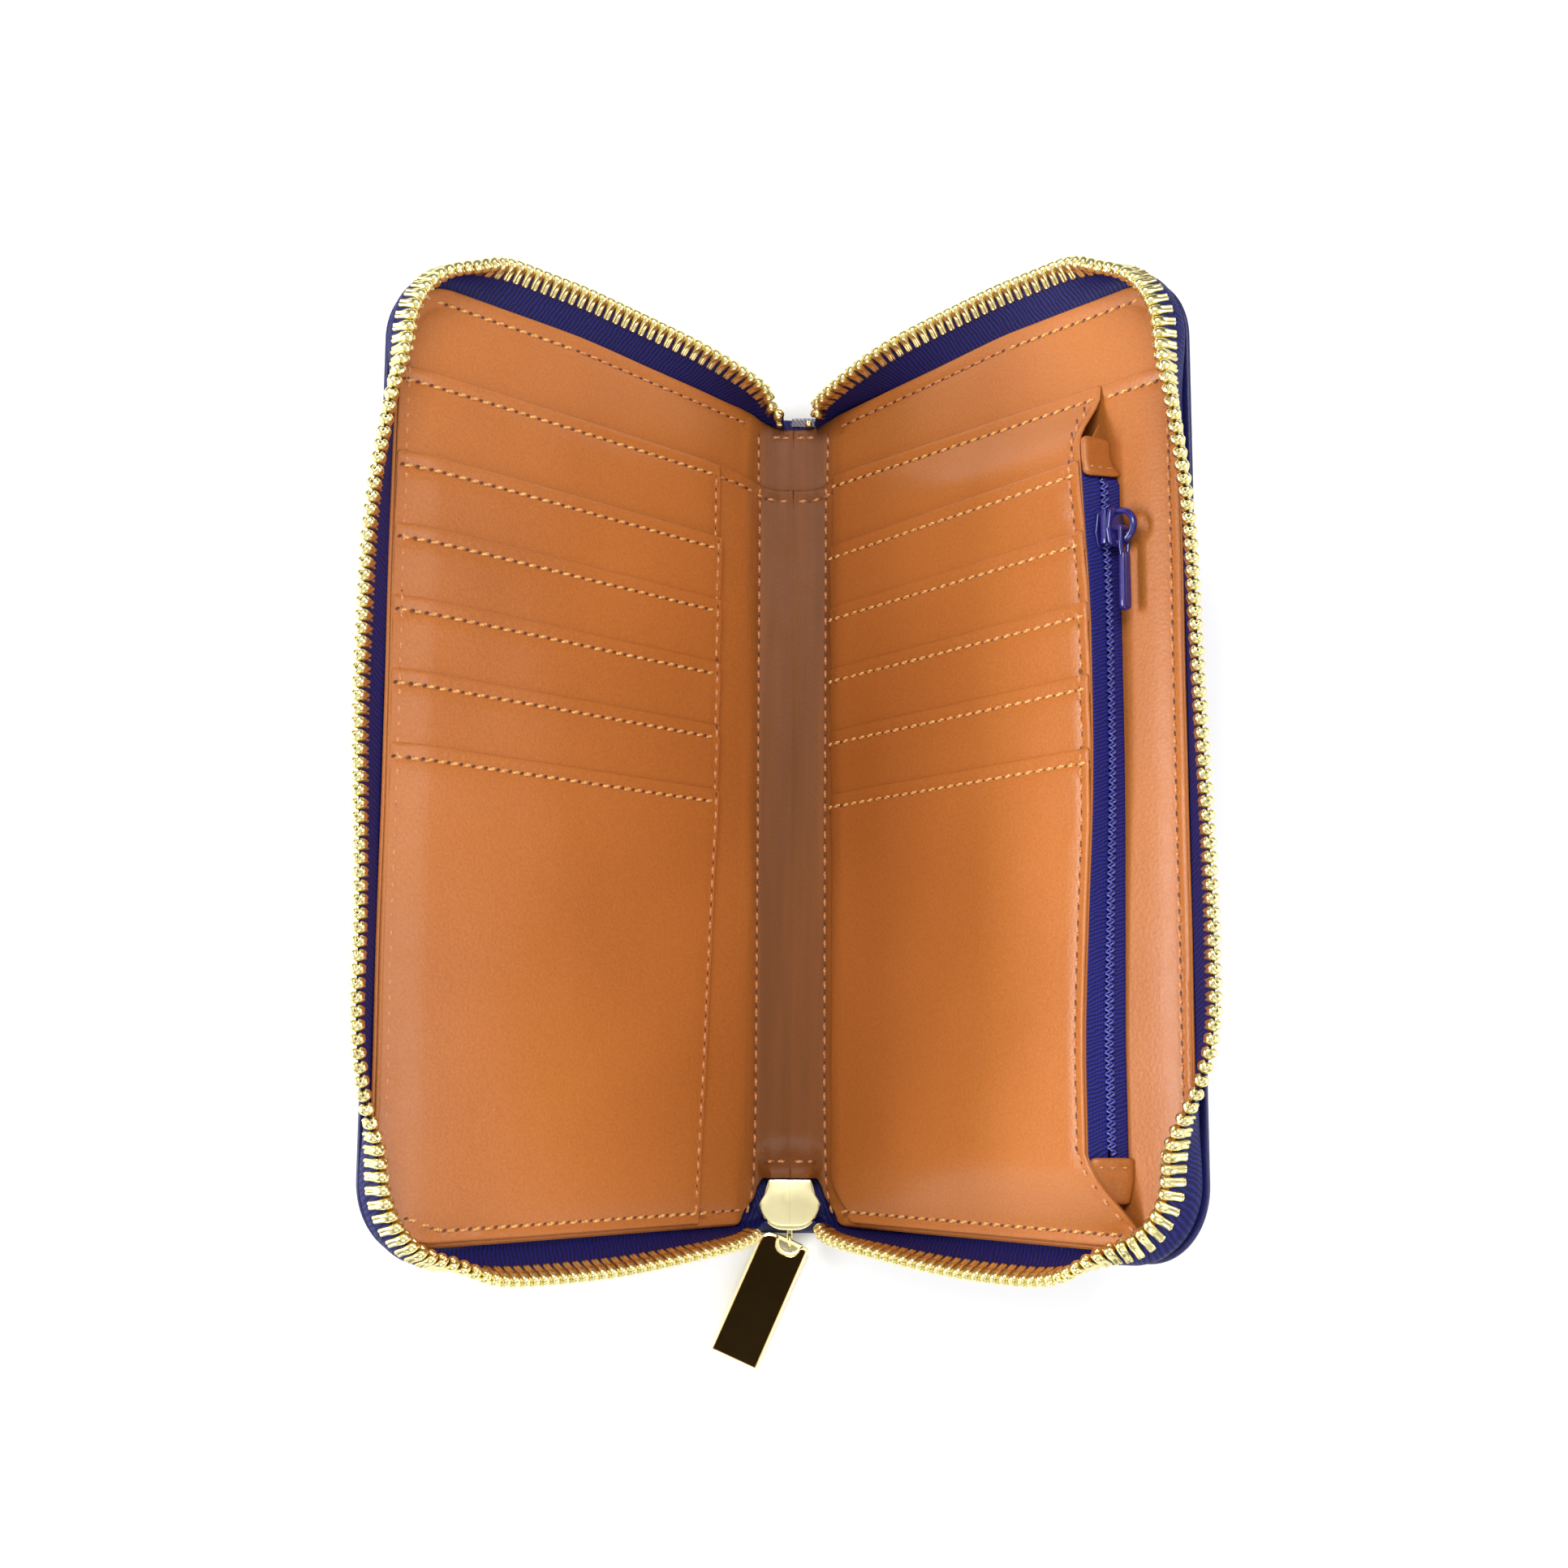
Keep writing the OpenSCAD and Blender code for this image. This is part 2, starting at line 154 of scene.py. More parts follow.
def place(side, u, v, h):
    """Millimetre points of a cover's u, v, h; below the fold they run round it on to the spine."""
    turn, radius, flat, arc = fold_facts(side)
    u, v, h = np.broadcast_arrays(*(np.asarray(c, float) for c in (u, v, h)))
    along = u - middle(side)
    angle = np.clip((along - flat) / radius, 0, turn)
    past = np.maximum(along - flat - arc, 0)
    x = np.minimum(along, flat) + radius * np.sin(angle) + past * math.cos(turn) - h * np.sin(angle)
    z = LEATHER + radius * (1 - np.cos(angle)) + past * math.sin(turn) + h * np.cos(angle)
    return np.stack([side * x, v, z], -1)


def fillet_path(corners, closed=True, step=2.6):
    """Points along straight lines joined by arcs; each corner is (x, y, radius)."""
    points = []
    last = len(corners) - 1
    for i, (x, y, radius) in enumerate(corners):
        here = np.array([x, y], float)
        if radius <= 0 or (not closed and i in (0, last)):
            points.append(here)
            continue
        before = np.array(corners[i - 1][:2], float) - here
        after = np.array(corners[(i + 1) % len(corners)][:2], float) - here
        before /= np.linalg.norm(before)
        after /= np.linalg.norm(after)
        turn = math.pi - math.acos(np.clip(before @ after, -1, 1))
        if turn < 0.01:
            points.append(here)
            continue
        inward = (before + after) / np.linalg.norm(before + after)
        centre = here + inward * radius / math.cos(turn / 2)
        start = here + before * radius * math.tan(turn / 2) - centre
        first = math.atan2(start[1], start[0])
        sense = 1 if np.cross(-before, after) > 0 else -1
        count = max(3, math.ceil(turn * radius / 1.3))
        for k in range(count + 1):
            a = first + sense * turn * k / count
            points.append(centre + radius * np.array([math.cos(a), math.sin(a)]))
    ends = points[1:] + points[:1] if closed else points[1:]
    path = []
    for p, q in zip(points, ends):
        count = max(1, math.ceil(np.linalg.norm(q - p) / step))
        path += [p + (q - p) * k / count for k in range(count)]
    if not closed:
        path.append(points[-1])
    return np.array(path)


def inset(outline, distance):
    """A closed anticlockwise outline moved inwards."""
    ahead = unit(np.roll(outline, -1, 0) - outline)
    normal = np.stack([-ahead[:, 1], ahead[:, 0]], 1)
    both = normal + np.roll(normal, 1, 0)
    return outline + 2 * distance * both / np.maximum((both ** 2).sum(1), 1.0)[:, None]


def path_distance(points, start, end):
    """Distance from each point to the nearest of the segments start to end."""
    nearest = np.full(len(points), 1e9)
    for p, q in zip(start, end):
        span = q - p
        t = np.clip(((points - p) @ span) / (span @ span), 0, 1)
        nearest = np.minimum(nearest, np.linalg.norm(points - p - t[:, None] * span, axis=1))
    return nearest


def inside(points, outline):
    """Which points lie within a closed outline."""
    within = np.zeros(len(points), bool)
    for p, q in zip(outline, np.roll(outline, -1, 0)):
        crosses = (p[1] > points[:, 1]) != (q[1] > points[:, 1])
        if p[1] != q[1]:
            at = p[0] + (points[:, 1] - p[1]) * (q[0] - p[0]) / (q[1] - p[1])
            within ^= crosses & (points[:, 0] < at)
    return within


def resample(path, spacing, start=0.0, end=0.0):
    """Evenly spaced points and directions along a path, leaving start and end bare."""
    run = run_along(path)
    count = max(1, round((run[-1] - start - end) / spacing))
    s = start + (np.arange(count) + 0.5) * (run[-1] - start - end) / count
    near = 0.35
    return at_run(s, run, path), unit(at_run(s + near, run, path) - at_run(s - near, run, path))


# ------------------------------------------------------------------ meshes

def make(name, points, faces, materials, uv=None, face_materials=None, sharp=None):
    """A smooth-shaded mesh object from millimetre points."""
    mesh = bpy.data.meshes.new(name)
    mesh.from_pydata((np.asarray(points) * MM).tolist(), [], [list(f) for f in faces])
    mesh.validate()
    if uv is not None:
        layer = mesh.uv_layers.new(name="flat")
        corners = np.empty(len(mesh.loops), np.int32)
        mesh.loops.foreach_get("vertex_index", corners)
        layer.data.foreach_set("uv", np.asarray(uv, float)[corners].ravel())
    for material in (materials if isinstance(materials, (list, tuple)) else [materials]):
        mesh.materials.append(material)
    if face_materials is not None:
        mesh.polygons.foreach_set("material_index", np.asarray(face_materials, np.int32))
    mesh.shade_smooth()
    if sharp is not None:
        mesh.set_sharp_from_angle(angle=math.radians(sharp))
    mesh.update()
    piece = bpy.data.objects.new(name, mesh)
    bpy.context.scene.collection.objects.link(piece)
    return piece


def copies(template, faces, frames):
    """Many copies of a template: frames is a list of (origin, x axis, y axis, z axis) arrays."""
    origin, ex, ey, ez = frames
    points = (origin[:, None, :] + template[None, :, 0:1] * ex[:, None, :]
              + template[None, :, 1:2] * ey[:, None, :] + template[None, :, 2:3] * ez[:, None, :])
    count = len(template)
    all_faces = [[i + k * count for i in f] for k in range(len(origin)) for f in faces]
    return points.reshape(-1, 3), all_faces


def loft(rings, capped=True, closed=True):
    """Faces over equal rings of points, with a fan at each end; returns points and faces."""
    rings = np.asarray(rings, float)
    count, size = rings.shape[:2]
    points = rings.reshape(-1, 3)
    faces = []
    for i in range(count - 1):
        for j in range(size if closed else size - 1):
            k = (j + 1) % size
            faces.append([i * size + j, i * size + k, (i + 1) * size + k, (i + 1) * size + j])
    if capped:
        points = np.vstack([points, rings[0].mean(0), rings[-1].mean(0)])
        for j in range(size):
            k = (j + 1) % size
            faces.append([count * size, k, j])
            faces.append([count * size + 1, (count - 1) * size + j, (count - 1) * size + k])
    return points, faces


def joined(parts):
    """Several (points, faces) as one."""
    points, faces, start = [], [], 0
    for part_points, part_faces in parts:
        points.append(np.asarray(part_points, float))
        faces += [[i + start for i in f] for f in part_faces]
        start += len(part_points)
    return np.vstack(points), faces


def tube(path, radius, sides=8, flat=1.0, capped=True):
    """A tube along a 3D path; flat squeezes it along its second normal."""
    path = np.asarray(path, float)
    ahead = unit(np.gradient(path, axis=0))
    side = np.cross(ahead[0], [0.3, 0.2, 0.9])
    radius = np.broadcast_to(radius, len(path))
    rings = []
    for p, t, r in zip(path, ahead, radius):
        side = side - t * (side @ t)
        side /= np.linalg.norm(side)
        other = np.cross(t, side)
        a = np.arange(sides) * 2 * math.pi / sides
        rings.append(p + r * np.cos(a)[:, None] * side + r * flat * np.sin(a)[:, None] * other)
    return loft(rings, capped)


def slab(outline, low, high, bevel, crown=0.0):
    """A plate with rounded rims from a closed anticlockwise outline."""
    steps = [(bevel, low), (bevel * 0.3, low + bevel * 0.3), (0, low + bevel), (0, high - bevel),
             (bevel * 0.3, high - bevel * 0.3), (bevel, high), (bevel * 1.7, high + crown * 0.5)]
    rings = []
    for distance, z in steps:
        ring = inset(outline, distance)
        rings.append(np.column_stack([ring, np.full(len(ring), z)]))
    points, faces = loft(rings, capped=False)
    size = len(outline)
    for ring, first, flip in ((rings[0], 0, True), (rings[-1], (len(steps) - 1) * size, False)):
        flat = [tuple(p[:2]) for p in ring]
        _, _, tris, origin, *_ = delaunay_2d_cdt(flat, [], [list(range(size))], 1, 1e-6)
        for t in tris:
            corner = [first + origin[i][0] for i in t if origin[i]]
            if len(corner) == 3:
                faces.append(corner[::-1] if flip else corner)
    return points, faces


# ------------------------------------------------------------------ materials

def srgb(*rgb):
    """A screen colour of 0 to 255 as the shader's linear colour."""
    return tuple(c / 255 / 12.92 if c <= 10 else ((c / 255 + 0.055) / 1.055) ** 2.4 for c in rgb) + (1,)


def fill_ramp(ramp, stops):
    """Give a colour ramp its (position, colour) stops."""
    while len(ramp.elements) < len(stops):
        ramp.elements.new(0.5)
    for element, (at, colour) in zip(ramp.elements, stops):
        element.position = at
        element.color = colour


class Shader:
    """A material with a Principled shader, and short ways to add nodes to it."""

    def __init__(self, name):
        self.material = bpy.data.materials.new(name)
        self.material.use_nodes = True
        self.tree = self.material.node_tree
        self.bsdf = self.tree.nodes["Principled BSDF"]
        self.place = self.node("ShaderNodeTexCoord").outputs["Object"]

    def node(self, kind, **settings):
        made = self.tree.nodes.new(kind)
        for key, value in settings.items():
            setattr(made, key, value)
        return made

    def link(self, source, target):
        self.tree.links.new(source, target)

    def noise(self, scale, detail=2.0, rough=0.5, vector=None):
        made = self.node("ShaderNodeTexNoise")
        made.inputs["Scale"].default_value = scale
        made.inputs["Detail"].default_value = detail
        made.inputs["Roughness"].default_value = rough
        self.link(vector or self.place, made.inputs["Vector"])
        return made.outputs["Fac"]

    def cells(self, scale, smoothness):
        made = self.node("ShaderNodeTexVoronoi", feature="SMOOTH_F1")
        made.inputs["Scale"].default_value = scale
        made.inputs["Smoothness"].default_value = smoothness
        self.link(self.place, made.inputs["Vector"])
        return made.outputs["Distance"]

    def ramp(self, value, stops):
        made = self.node("ShaderNodeValToRGB")
        fill_ramp(made.color_ramp, stops)
        self.link(value, made.inputs["Fac"])
        return made.outputs["Color"]

    def math(self, operation, *values):
        made = self.node("ShaderNodeMath", operation=operation)
        for socket, value in zip(made.inputs, values):
            if isinstance(value, (int, float)):
                socket.default_value = value
            else:
                self.link(value, socket)
        return made.outputs[0]

    def mix(self, factor, first, second):
        made = self.node("ShaderNodeMix", data_type="RGBA")
        for index, value in ((0, factor), (6, first), (7, second)):
            socket = made.inputs[index]
            if isinstance(value, (int, float, tuple)):
                socket.default_value = value
            else:
                self.link(value, socket)
        return made.outputs[2]

    def stretch(self, scale):
        made = self.node("ShaderNodeMapping")
        made.inputs["Scale"].default_value = scale
        self.link(self.place, made.inputs["Vector"])
        return made.outputs["Vector"]

    def flat_map(self):
        """Separate sockets of the mesh's own flat map, in millimetres."""
        uv = self.node("ShaderNodeUVMap", uv_map="flat")
        split = self.node("ShaderNodeSeparateXYZ")
        self.link(uv.outputs["UV"], split.inputs[0])
        return split.outputs[0], split.outputs[1]

    def colour(self, socket):
        self.link(socket, self.bsdf.inputs["Base Color"])

    def rough(self, value, low, high):
        spread = self.node("ShaderNodeMapRange")
        spread.inputs["To Min"].default_value = low
        spread.inputs["To Max"].default_value = high
        self.link(value, spread.inputs["Value"])
        self.link(spread.outputs["Result"], self.bsdf.inputs["Roughness"])

    def bump(self, height, depth_mm, strength=1.0, onto=None):
        made = self.node("ShaderNodeBump")
        made.inputs["Strength"].default_value = strength
        made.inputs["Distance"].default_value = depth_mm * MM
        self.link(height, made.inputs["Height"])
        if onto is not None:
            self.link(onto, made.inputs["Normal"])
        self.link(made.outputs["Normal"], self.bsdf.inputs["Normal"])
        return made.outputs["Normal"]

    def set(self, **values):
        for key, value in values.items():
            self.bsdf.inputs[key.replace("_", " ")].default_value = value
        return self.material


def leather(name, deep, mid, light, grain=1.0, low=0.34, high=0.5, fold=None, shine=0.5):
    """Smooth coated leather: soft mottling, fine pores and a shallow pebble; fold paints shade into the colour
    near the spine.
    """
    s = Shader(name)
    mottle = s.noise(14, 2, 0.45)
    fine = s.noise(1900, 2, 0.6)
    tone = s.math("ADD", s.math("MULTIPLY", mottle, 0.55), s.math("MULTIPLY", fine, 0.45))
    colour = s.ramp(tone, [(0.22, deep), (0.5, mid), (0.78, light)])
    # Painted shade: near the spine's middle the colour is darkened by fold, in streaks, standing for the shade
    # in the spine's valley
    if fold is not None:
        split = s.node("ShaderNodeSeparateXYZ")
        s.link(s.place, split.inputs[0])
        streaks = s.noise(60, 3, 0.6, vector=s.stretch((4, 0.25, 1)))
        reach = s.math("ADD", s.math("ABSOLUTE", split.outputs[0]), s.math("MULTIPLY", streaks, 0.004))
        far = s.node("ShaderNodeMapRange", interpolation_type="SMOOTHSTEP")
        far.inputs["From Min"].default_value = 0.0085
        far.inputs["From Max"].default_value = 0.0145
        s.link(reach, far.inputs["Value"])
        dark = tuple(c * fold for c in mid[:3]) + (1,)
        paler_shade = tuple(c * fold * 1.25 for c in mid[:3]) + (1,)
        colour = s.mix(far.outputs["Result"], s.ramp(streaks, [(0.35, dark), (0.7, paler_shade)]), colour)
    s.colour(colour)
    s.rough(s.noise(160, 3), low, high)
    pebble = s.bump(s.cells(1300, 0.6), 0.035 * grain)
    s.bump(s.noise(3600, 3, 0.7), 0.012 * grain, 0.8, onto=pebble)
    return s.set(Specular_IOR_Level=shine)


def woven(name, dark, mid, light, rib=1.45, depth=0.16):
    """Zip tape: slanting twill ribs over crossed threads, on the tape's own flat map."""
    s = Shader(name)
    along, across = s.flat_map()
    waver = s.math("MULTIPLY", s.noise(300, 2), 1.6)
    slant = s.math("ADD", s.math("ADD", along, s.math("MULTIPLY", across, 0.42)), waver)
    ribs = s.math("SINE", s.math("MULTIPLY", slant, 2 * math.pi / rib))
    cross = s.math("SINE", s.math("MULTIPLY", across, 2 * math.pi / 0.52))
    threads = s.math("SINE", s.math("MULTIPLY", s.math("SUBTRACT", along, across), 2 * math.pi / 0.62))
    weave = s.math("ADD", s.math("MULTIPLY", cross, 0.5), s.math("MULTIPLY", threads, 0.5))
    height = s.math("ADD", s.math("MULTIPLY", ribs, 0.34), s.math("MULTIPLY", weave, 0.2))
    level = s.math("ADD", s.math("MULTIPLY", height, 0.8), 0.5)
    # Painted shade and light: the colour follows the weave's height, darker in its valleys and lighter on its
    # ribs
    s.colour(s.ramp(level, [(0.12, dark), (0.5, mid), (0.92, light)]))
    s.rough(level, 0.75, 0.5)
    s.bump(level, depth)
    return s.set(Specular_IOR_Level=0.3)


def metal(name, base, dark, low, high, scratch=0.004):
    """Plated metal with faint clouding and fine brushed scratches."""
    s = Shader(name)
    s.colour(s.mix(s.math("MULTIPLY", s.noise(180, 2), 0.6), base, dark))
    s.rough(s.noise(500, 3), low, high)
    s.bump(s.noise(2600, 3, 0.6, vector=s.stretch((1, 0.25, 1))), scratch)
    return s.set(Metallic=1.0)


def thread(name, dark, light):
    """Two-ply thread with a fine twist."""
    s = Shader(name)
    tone = s.noise(2600, 2)
    s.colour(s.ramp(tone, [(0.35, dark), (0.65, light)]))
    s.rough(tone, 0.5, 0.32)
    s.bump(s.noise(5200, 2), 0.03)
    return s.set(Sheen_Weight=0.2)


def enamel(name, base, second, low, high):
    """A coated colour, slightly uneven."""
    s = Shader(name)
    s.colour(s.mix(s.noise(140, 2), base, second))
    s.rough(s.noise(420, 2), low, high)
    s.bump(s.noise(900, 2), 0.008)
    return s.set(Coat_Weight=0.5, Coat_Roughness=0.08)


TAN_TONES = srgb(152, 86, 33), srgb(177, 104, 45), srgb(197, 121, 57)
# Both tan leathers paint shade along the spine's valley (fold=0.37)
TAN = leather("tan_leather", *TAN_TONES, low=0.3, high=0.44, fold=0.37, shine=0.4)
SPINE = leather("tan_leather_spine", *TAN_TONES, low=0.42, high=0.58, fold=0.37, shine=0.22)
NAVY = leather("navy_leather", srgb(14, 15, 58), srgb(21, 22, 80), srgb(30, 31, 102), grain=1.6)
TAPE = woven("navy_tape", srgb(5, 5, 38), srgb(13, 13, 78), srgb(24, 26, 118), 1.1, 0.13)
POCKET_TAPE = woven("navy_pocket_tape", srgb(10, 10, 54), srgb(22, 23, 108), srgb(42, 44, 150), 0.8, 0.12)
GOLD = metal("gold_teeth", srgb(246, 234, 172), srgb(224, 204, 128), 0.24, 0.32)
PLATE = metal("gold_plate", srgb(255, 246, 196), srgb(246, 232, 172), 0.34, 0.46)
MIRROR = metal("gold_mirror", srgb(226, 178, 126), srgb(212, 160, 104), 0.05, 0.1, scratch=0.002)
SLOT_THREAD = thread("gold_thread", srgb(186, 116, 50), srgb(244, 192, 112))
# Painted shade: a darker, duller copy of the gold thread for the upright rows, the rows by the fold and the
# pocket tabs
SHADED_THREAD = thread("gold_thread_painted_shade", srgb(168, 98, 52), srgb(222, 154, 98))
NAVY_THREAD = thread("navy_thread", srgb(16, 16, 70), srgb(34, 35, 110))
# Painted shade: dark brown standing for the shade in the needle holes and in the groove down the slider plate
HOLLOW_SHADE = enamel("hollow_painted_shade", srgb(70, 32, 16), srgb(92, 44, 22), 0.6, 0.8)
# The coil's navy is lighter than its tape's, partly its own tone and partly painted highlight for the glints
# along it
COIL = enamel("navy_coil", srgb(52, 55, 146), srgb(92, 96, 182), 0.08, 0.16)
ENAMEL = enamel("navy_enamel", srgb(26, 26, 98), srgb(36, 36, 122), 0.2, 0.32)
FLAP = woven("grey_flap", srgb(120, 124, 140), srgb(172, 176, 190), srgb(214, 216, 226), 0.9, 0.06)
BOARD = leather("grey_board", srgb(110, 100, 84), srgb(132, 122, 104), srgb(150, 140, 122))


# ------------------------------------------------------------------ how the leather lies

def swell(side, u, v):
    """The leather's gentle unevenness, shared by every sheet of a cover."""
    u = np.asarray(u, float)
    v = np.asarray(v, float)
    shape = np.broadcast(u, v).shape
    flat_u = np.broadcast_to(u, shape).ravel()
    flat_v = np.broadcast_to(v, shape).ravel()
    value = np.array([noise.noise((a / 42 + 7 * side, b / 60, 3.1))
                      + 0.35 * noise.noise((a / 15, b / 24, 9 * side)) for a, b in zip(flat_u, flat_v)])
    # A bulge low on each cover
    if side < 0:
        value = value + 3.0 * bell(np.hypot((flat_u - 82) / 24, (flat_v + 68) / 26), 1.0)
    else:
        value = value + 1.6 * bell(np.hypot((flat_u - 45) / 30, (flat_v + 62) / 24), 1.0)
    fade = smooth((flat_u - 2) / 12)
    along = flat_u - middle(side)
    creases = ((1 - fade) * 0.2 * np.cos(along * 1.15 + 0.9 * np.sin(flat_v / 37 + 2 * side))
               * (0.5 + 0.5 * np.sin(flat_v / 26 + side)))
    # The lining's end rises over the slider
    lip = LIP_RISE * smooth((-flat_v - 79.5) / 7) * (1 - smooth((along - 5.2) / 3.4))
    return (0.42 * value * fade + creases + lip).reshape(shape)


def pocket_ends(v):
    """1 along the zip pocket, easing to 0 where it closes at both ends."""
    return smooth((SLIP_TOP - 1.5 - v) / 13) * smooth((v - BOTTOM - 1) / 15)


def lift(u, v):
    """How far the right cover's pocket front stands off the cover."""
    across = (u - STACK_START[1]) / (STACK_END[1] - STACK_START[1])
    return LIFT * np.clip(across, 0, 1.2) * pocket_ends(v)


def pinch(u, low):
    """The sheets are pared thin towards the outer seam, so what lies on them sinks."""
    return 0.62 * (low - LINING_LOW) * smooth((np.asarray(u, float) - 98.5) / 8.5)


def level(side, low, lifted=False):
    """Height of a sheet's underside as a function of u and v."""
    def height(u, v):
        return low + swell(side, u, v) - pinch(u, low) + (lift(u, v) if lifted else 0)
    return height


def card_level(side, k, lifted=False):
    """A card sheet lies like a shingle: its edge on the sheet before it, its foot under the next one."""
    def height(u, v):
        step = CARD_RISE * smooth((v - SLOT_TOPS[k] + 15.5) / 13)
        low = CARD_LOW + step
        return low + swell(side, u, v) - pinch(u, low) + (lift(u, v) if lifted else 0)
    return height


def groove(points, rows):
    """How far the stitches draw the leather down at each point."""
    depth = np.zeros(len(points))
    for row in rows:
        depth = np.maximum(depth, 0.27 * bell(path_distance(points, row[:-1], row[1:]), 0.75))
    return depth


EDGE_RINGS = (0.12, 0.3, 0.6, 1.1)
ROW_SIDES = (-1.1, -0.5, 0.0, 0.5, 1.1)


def sheet(name, side, outline, height, thick, material, rows=(), spacing=3.0, puff=0.1, downward=False,
          surface=None):
    """A sheet of leather with rounded edges that dips along its stitch rows."""
    # The half sheets of the two sides meet on the spine, and that edge stays square
    joint = middle(side) if surface is None else -math.inf
    loops = [outline] + [inset(outline, d) for d in EDGE_RINGS]
    start, end = outline, np.roll(outline, -1, 0)
    real = ~((start[:, 0] <= joint + 1e-6) & (end[:, 0] <= joint + 1e-6))
    extra = []
    for row in rows:
        at, ahead = resample(row, 2.6)
        across = np.stack([-ahead[:, 1], ahead[:, 0]], 1)
        extra += [at + across * d for d in ROW_SIDES]
    extra = np.vstack(extra) if extra else np.zeros((0, 2))
    low, high = outline.min(0), outline.max(0)
    grid = np.stack(np.meshgrid(np.arange(low[0] + 1.1, high[0], spacing),
                                np.arange(low[1] + 1.1, high[1], spacing)), -1).reshape(-1, 2)
    grid = grid[inside(grid, outline)]
    grid = grid[path_distance(grid, start, end) > 1.9]
    if len(extra):
        extra = extra[inside(extra, outline)]
        extra = extra[path_distance(extra, start, end) > 1.35]
        for row in rows:
            grid = grid[path_distance(grid, row[:-1], row[1:]) > 1.9]
    rings = [loop[inside(loop, outline)] for loop in loops[1:]]
    cloud = np.vstack([outline, *rings, extra, grid])
    flat, _, tris, *_ = delaunay_2d_cdt([tuple(p) for p in cloud], [], [list(range(len(outline)))], 1, 1e-4)
    flat = np.array([(p[0], p[1]) for p in flat])
    edge = path_distance(flat, start[real], end[real])
    rounding = 0.2 + 0.8 * np.sqrt(1 - (1 - np.clip(edge / (0.9 * thick), 0, 1)) ** 2)
    base = height(flat[:, 0], flat[:, 1])
    rim = puff * bell(edge - 1.0, 0.8)
    top = base + thick / 2 * (1 + rounding) + rim - groove(flat, rows)
    under = base + thick / 2 * (1 - rounding)
    if downward:
        top = base + thick / 2 * (1 + rounding)
        under = under - rim + groove(flat, rows)
    count = len(flat)
    onto = surface or (lambda u, v, h: place(side, u, v, h))
    points = np.vstack([onto(flat[:, 0], flat[:, 1], top), onto(flat[:, 0], flat[:, 1], under)])
    faces = [list(t) for t in tris]
    boundary = {}
    for t in faces:
        for a, b in zip(t, t[1:] + t[:1]):
            boundary[(a, b)] = boundary.get((a, b), 0) + 1
    walls = [[b, a, a + count, b + count] for a, b in boundary if (b, a) not in boundary]
    faces = faces + [[i + count for i in reversed(t)] for t in faces] + walls
    if side < 0:
        faces = [f[::-1] for f in faces]
    uv = np.vstack([flat, flat])
    if material is not TAN or surface is not None:
        return make(name, points, faces, material, uv=uv, sharp=50)
    by_spine = [int(uv[f, 0].mean() < 0.3) for f in faces]
    return make(name, points, faces, [TAN, SPINE], uv=uv, face_materials=by_spine, sharp=50)


def on_body(piece, body, *nodes, slot):
    """The piece moves with a body and stands for the CAD nodes; slot is not used."""
    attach(piece, body)
    if nodes:
        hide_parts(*nodes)


def on_cover(piece, side, *nodes, slot):
    on_body(piece, NAME[side] + "_cover", *nodes, slot=slot)


def solid(name, shape, material, body, *nodes, slot, sharp=None, face_materials=None):
    """A hard piece from (points, faces), fixed to its body."""
    piece = make(name, *shape, material, face_materials=face_materials, sharp=sharp)
    on_body(piece, body, *nodes, slot=slot)


def over_fold(piece, side, *nodes, slot):
    """The piece keeps the shape it was built with round the cover's fold."""
    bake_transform(piece)
    if nodes:
        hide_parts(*nodes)


# ------------------------------------------------------------------ leather sheets

def outer_outline(side):
    mid = middle(side)
    return fillet_path([(mid, -HALF, 0), (COVER, -HALF, CORNER), (COVER, HALF, CORNER), (30, HALF, 60),
                        (5, 97.5, 20), (mid + 5, 94.4, 10), (mid, 94.3, 0)])


def lining_corners(side, top, edge, spine_end, outer):
    """Lower inner corner cut away beside the slider, then the outer corners or a straight top."""
    mid = middle(side)
    return [(mid, spine_end, 0), (mid + 7.3, spine_end, 1.0), (0.6, -92.4, 4), (3.6, -95.2, 2.5),
            (5.6, -edge, 2.2), (outer, -edge, CORNER - 2)] + top


def lining_outline(side):
    mid = middle(side)
    top = [(108.2, 98.5, CORNER - 2), (60, 98.5, 120), (3.5, 95.0 - (side > 0) * 0.8, 9),
           (mid + 4, 91.4, 8), (mid, 91.2, 0)]
    return fillet_path(lining_corners(side, top, 98.5, -87.6, 108.2))


def slip_outline(side):
    mid = middle(side)
    edge = 106.3 if side < 0 else 107.9
    top = [(edge, SLIP_TOP - 0.4 * (side < 0), 0.6), (7, SLIP_TOP, 30), (mid + 5, 76.0, 20),
           (mid, 76.0, 0)]
    return fillet_path(lining_corners(side, top, 98.2, -87.7, edge))


def pocket_edge(v):
    """The u of the zip pocket's front edge, which bows in towards both ends."""
    return STACK_END[1] - 0.4 - 2.6 * smooth((v - 25) / 45) - 3.4 * smooth((8 - v) / 70)


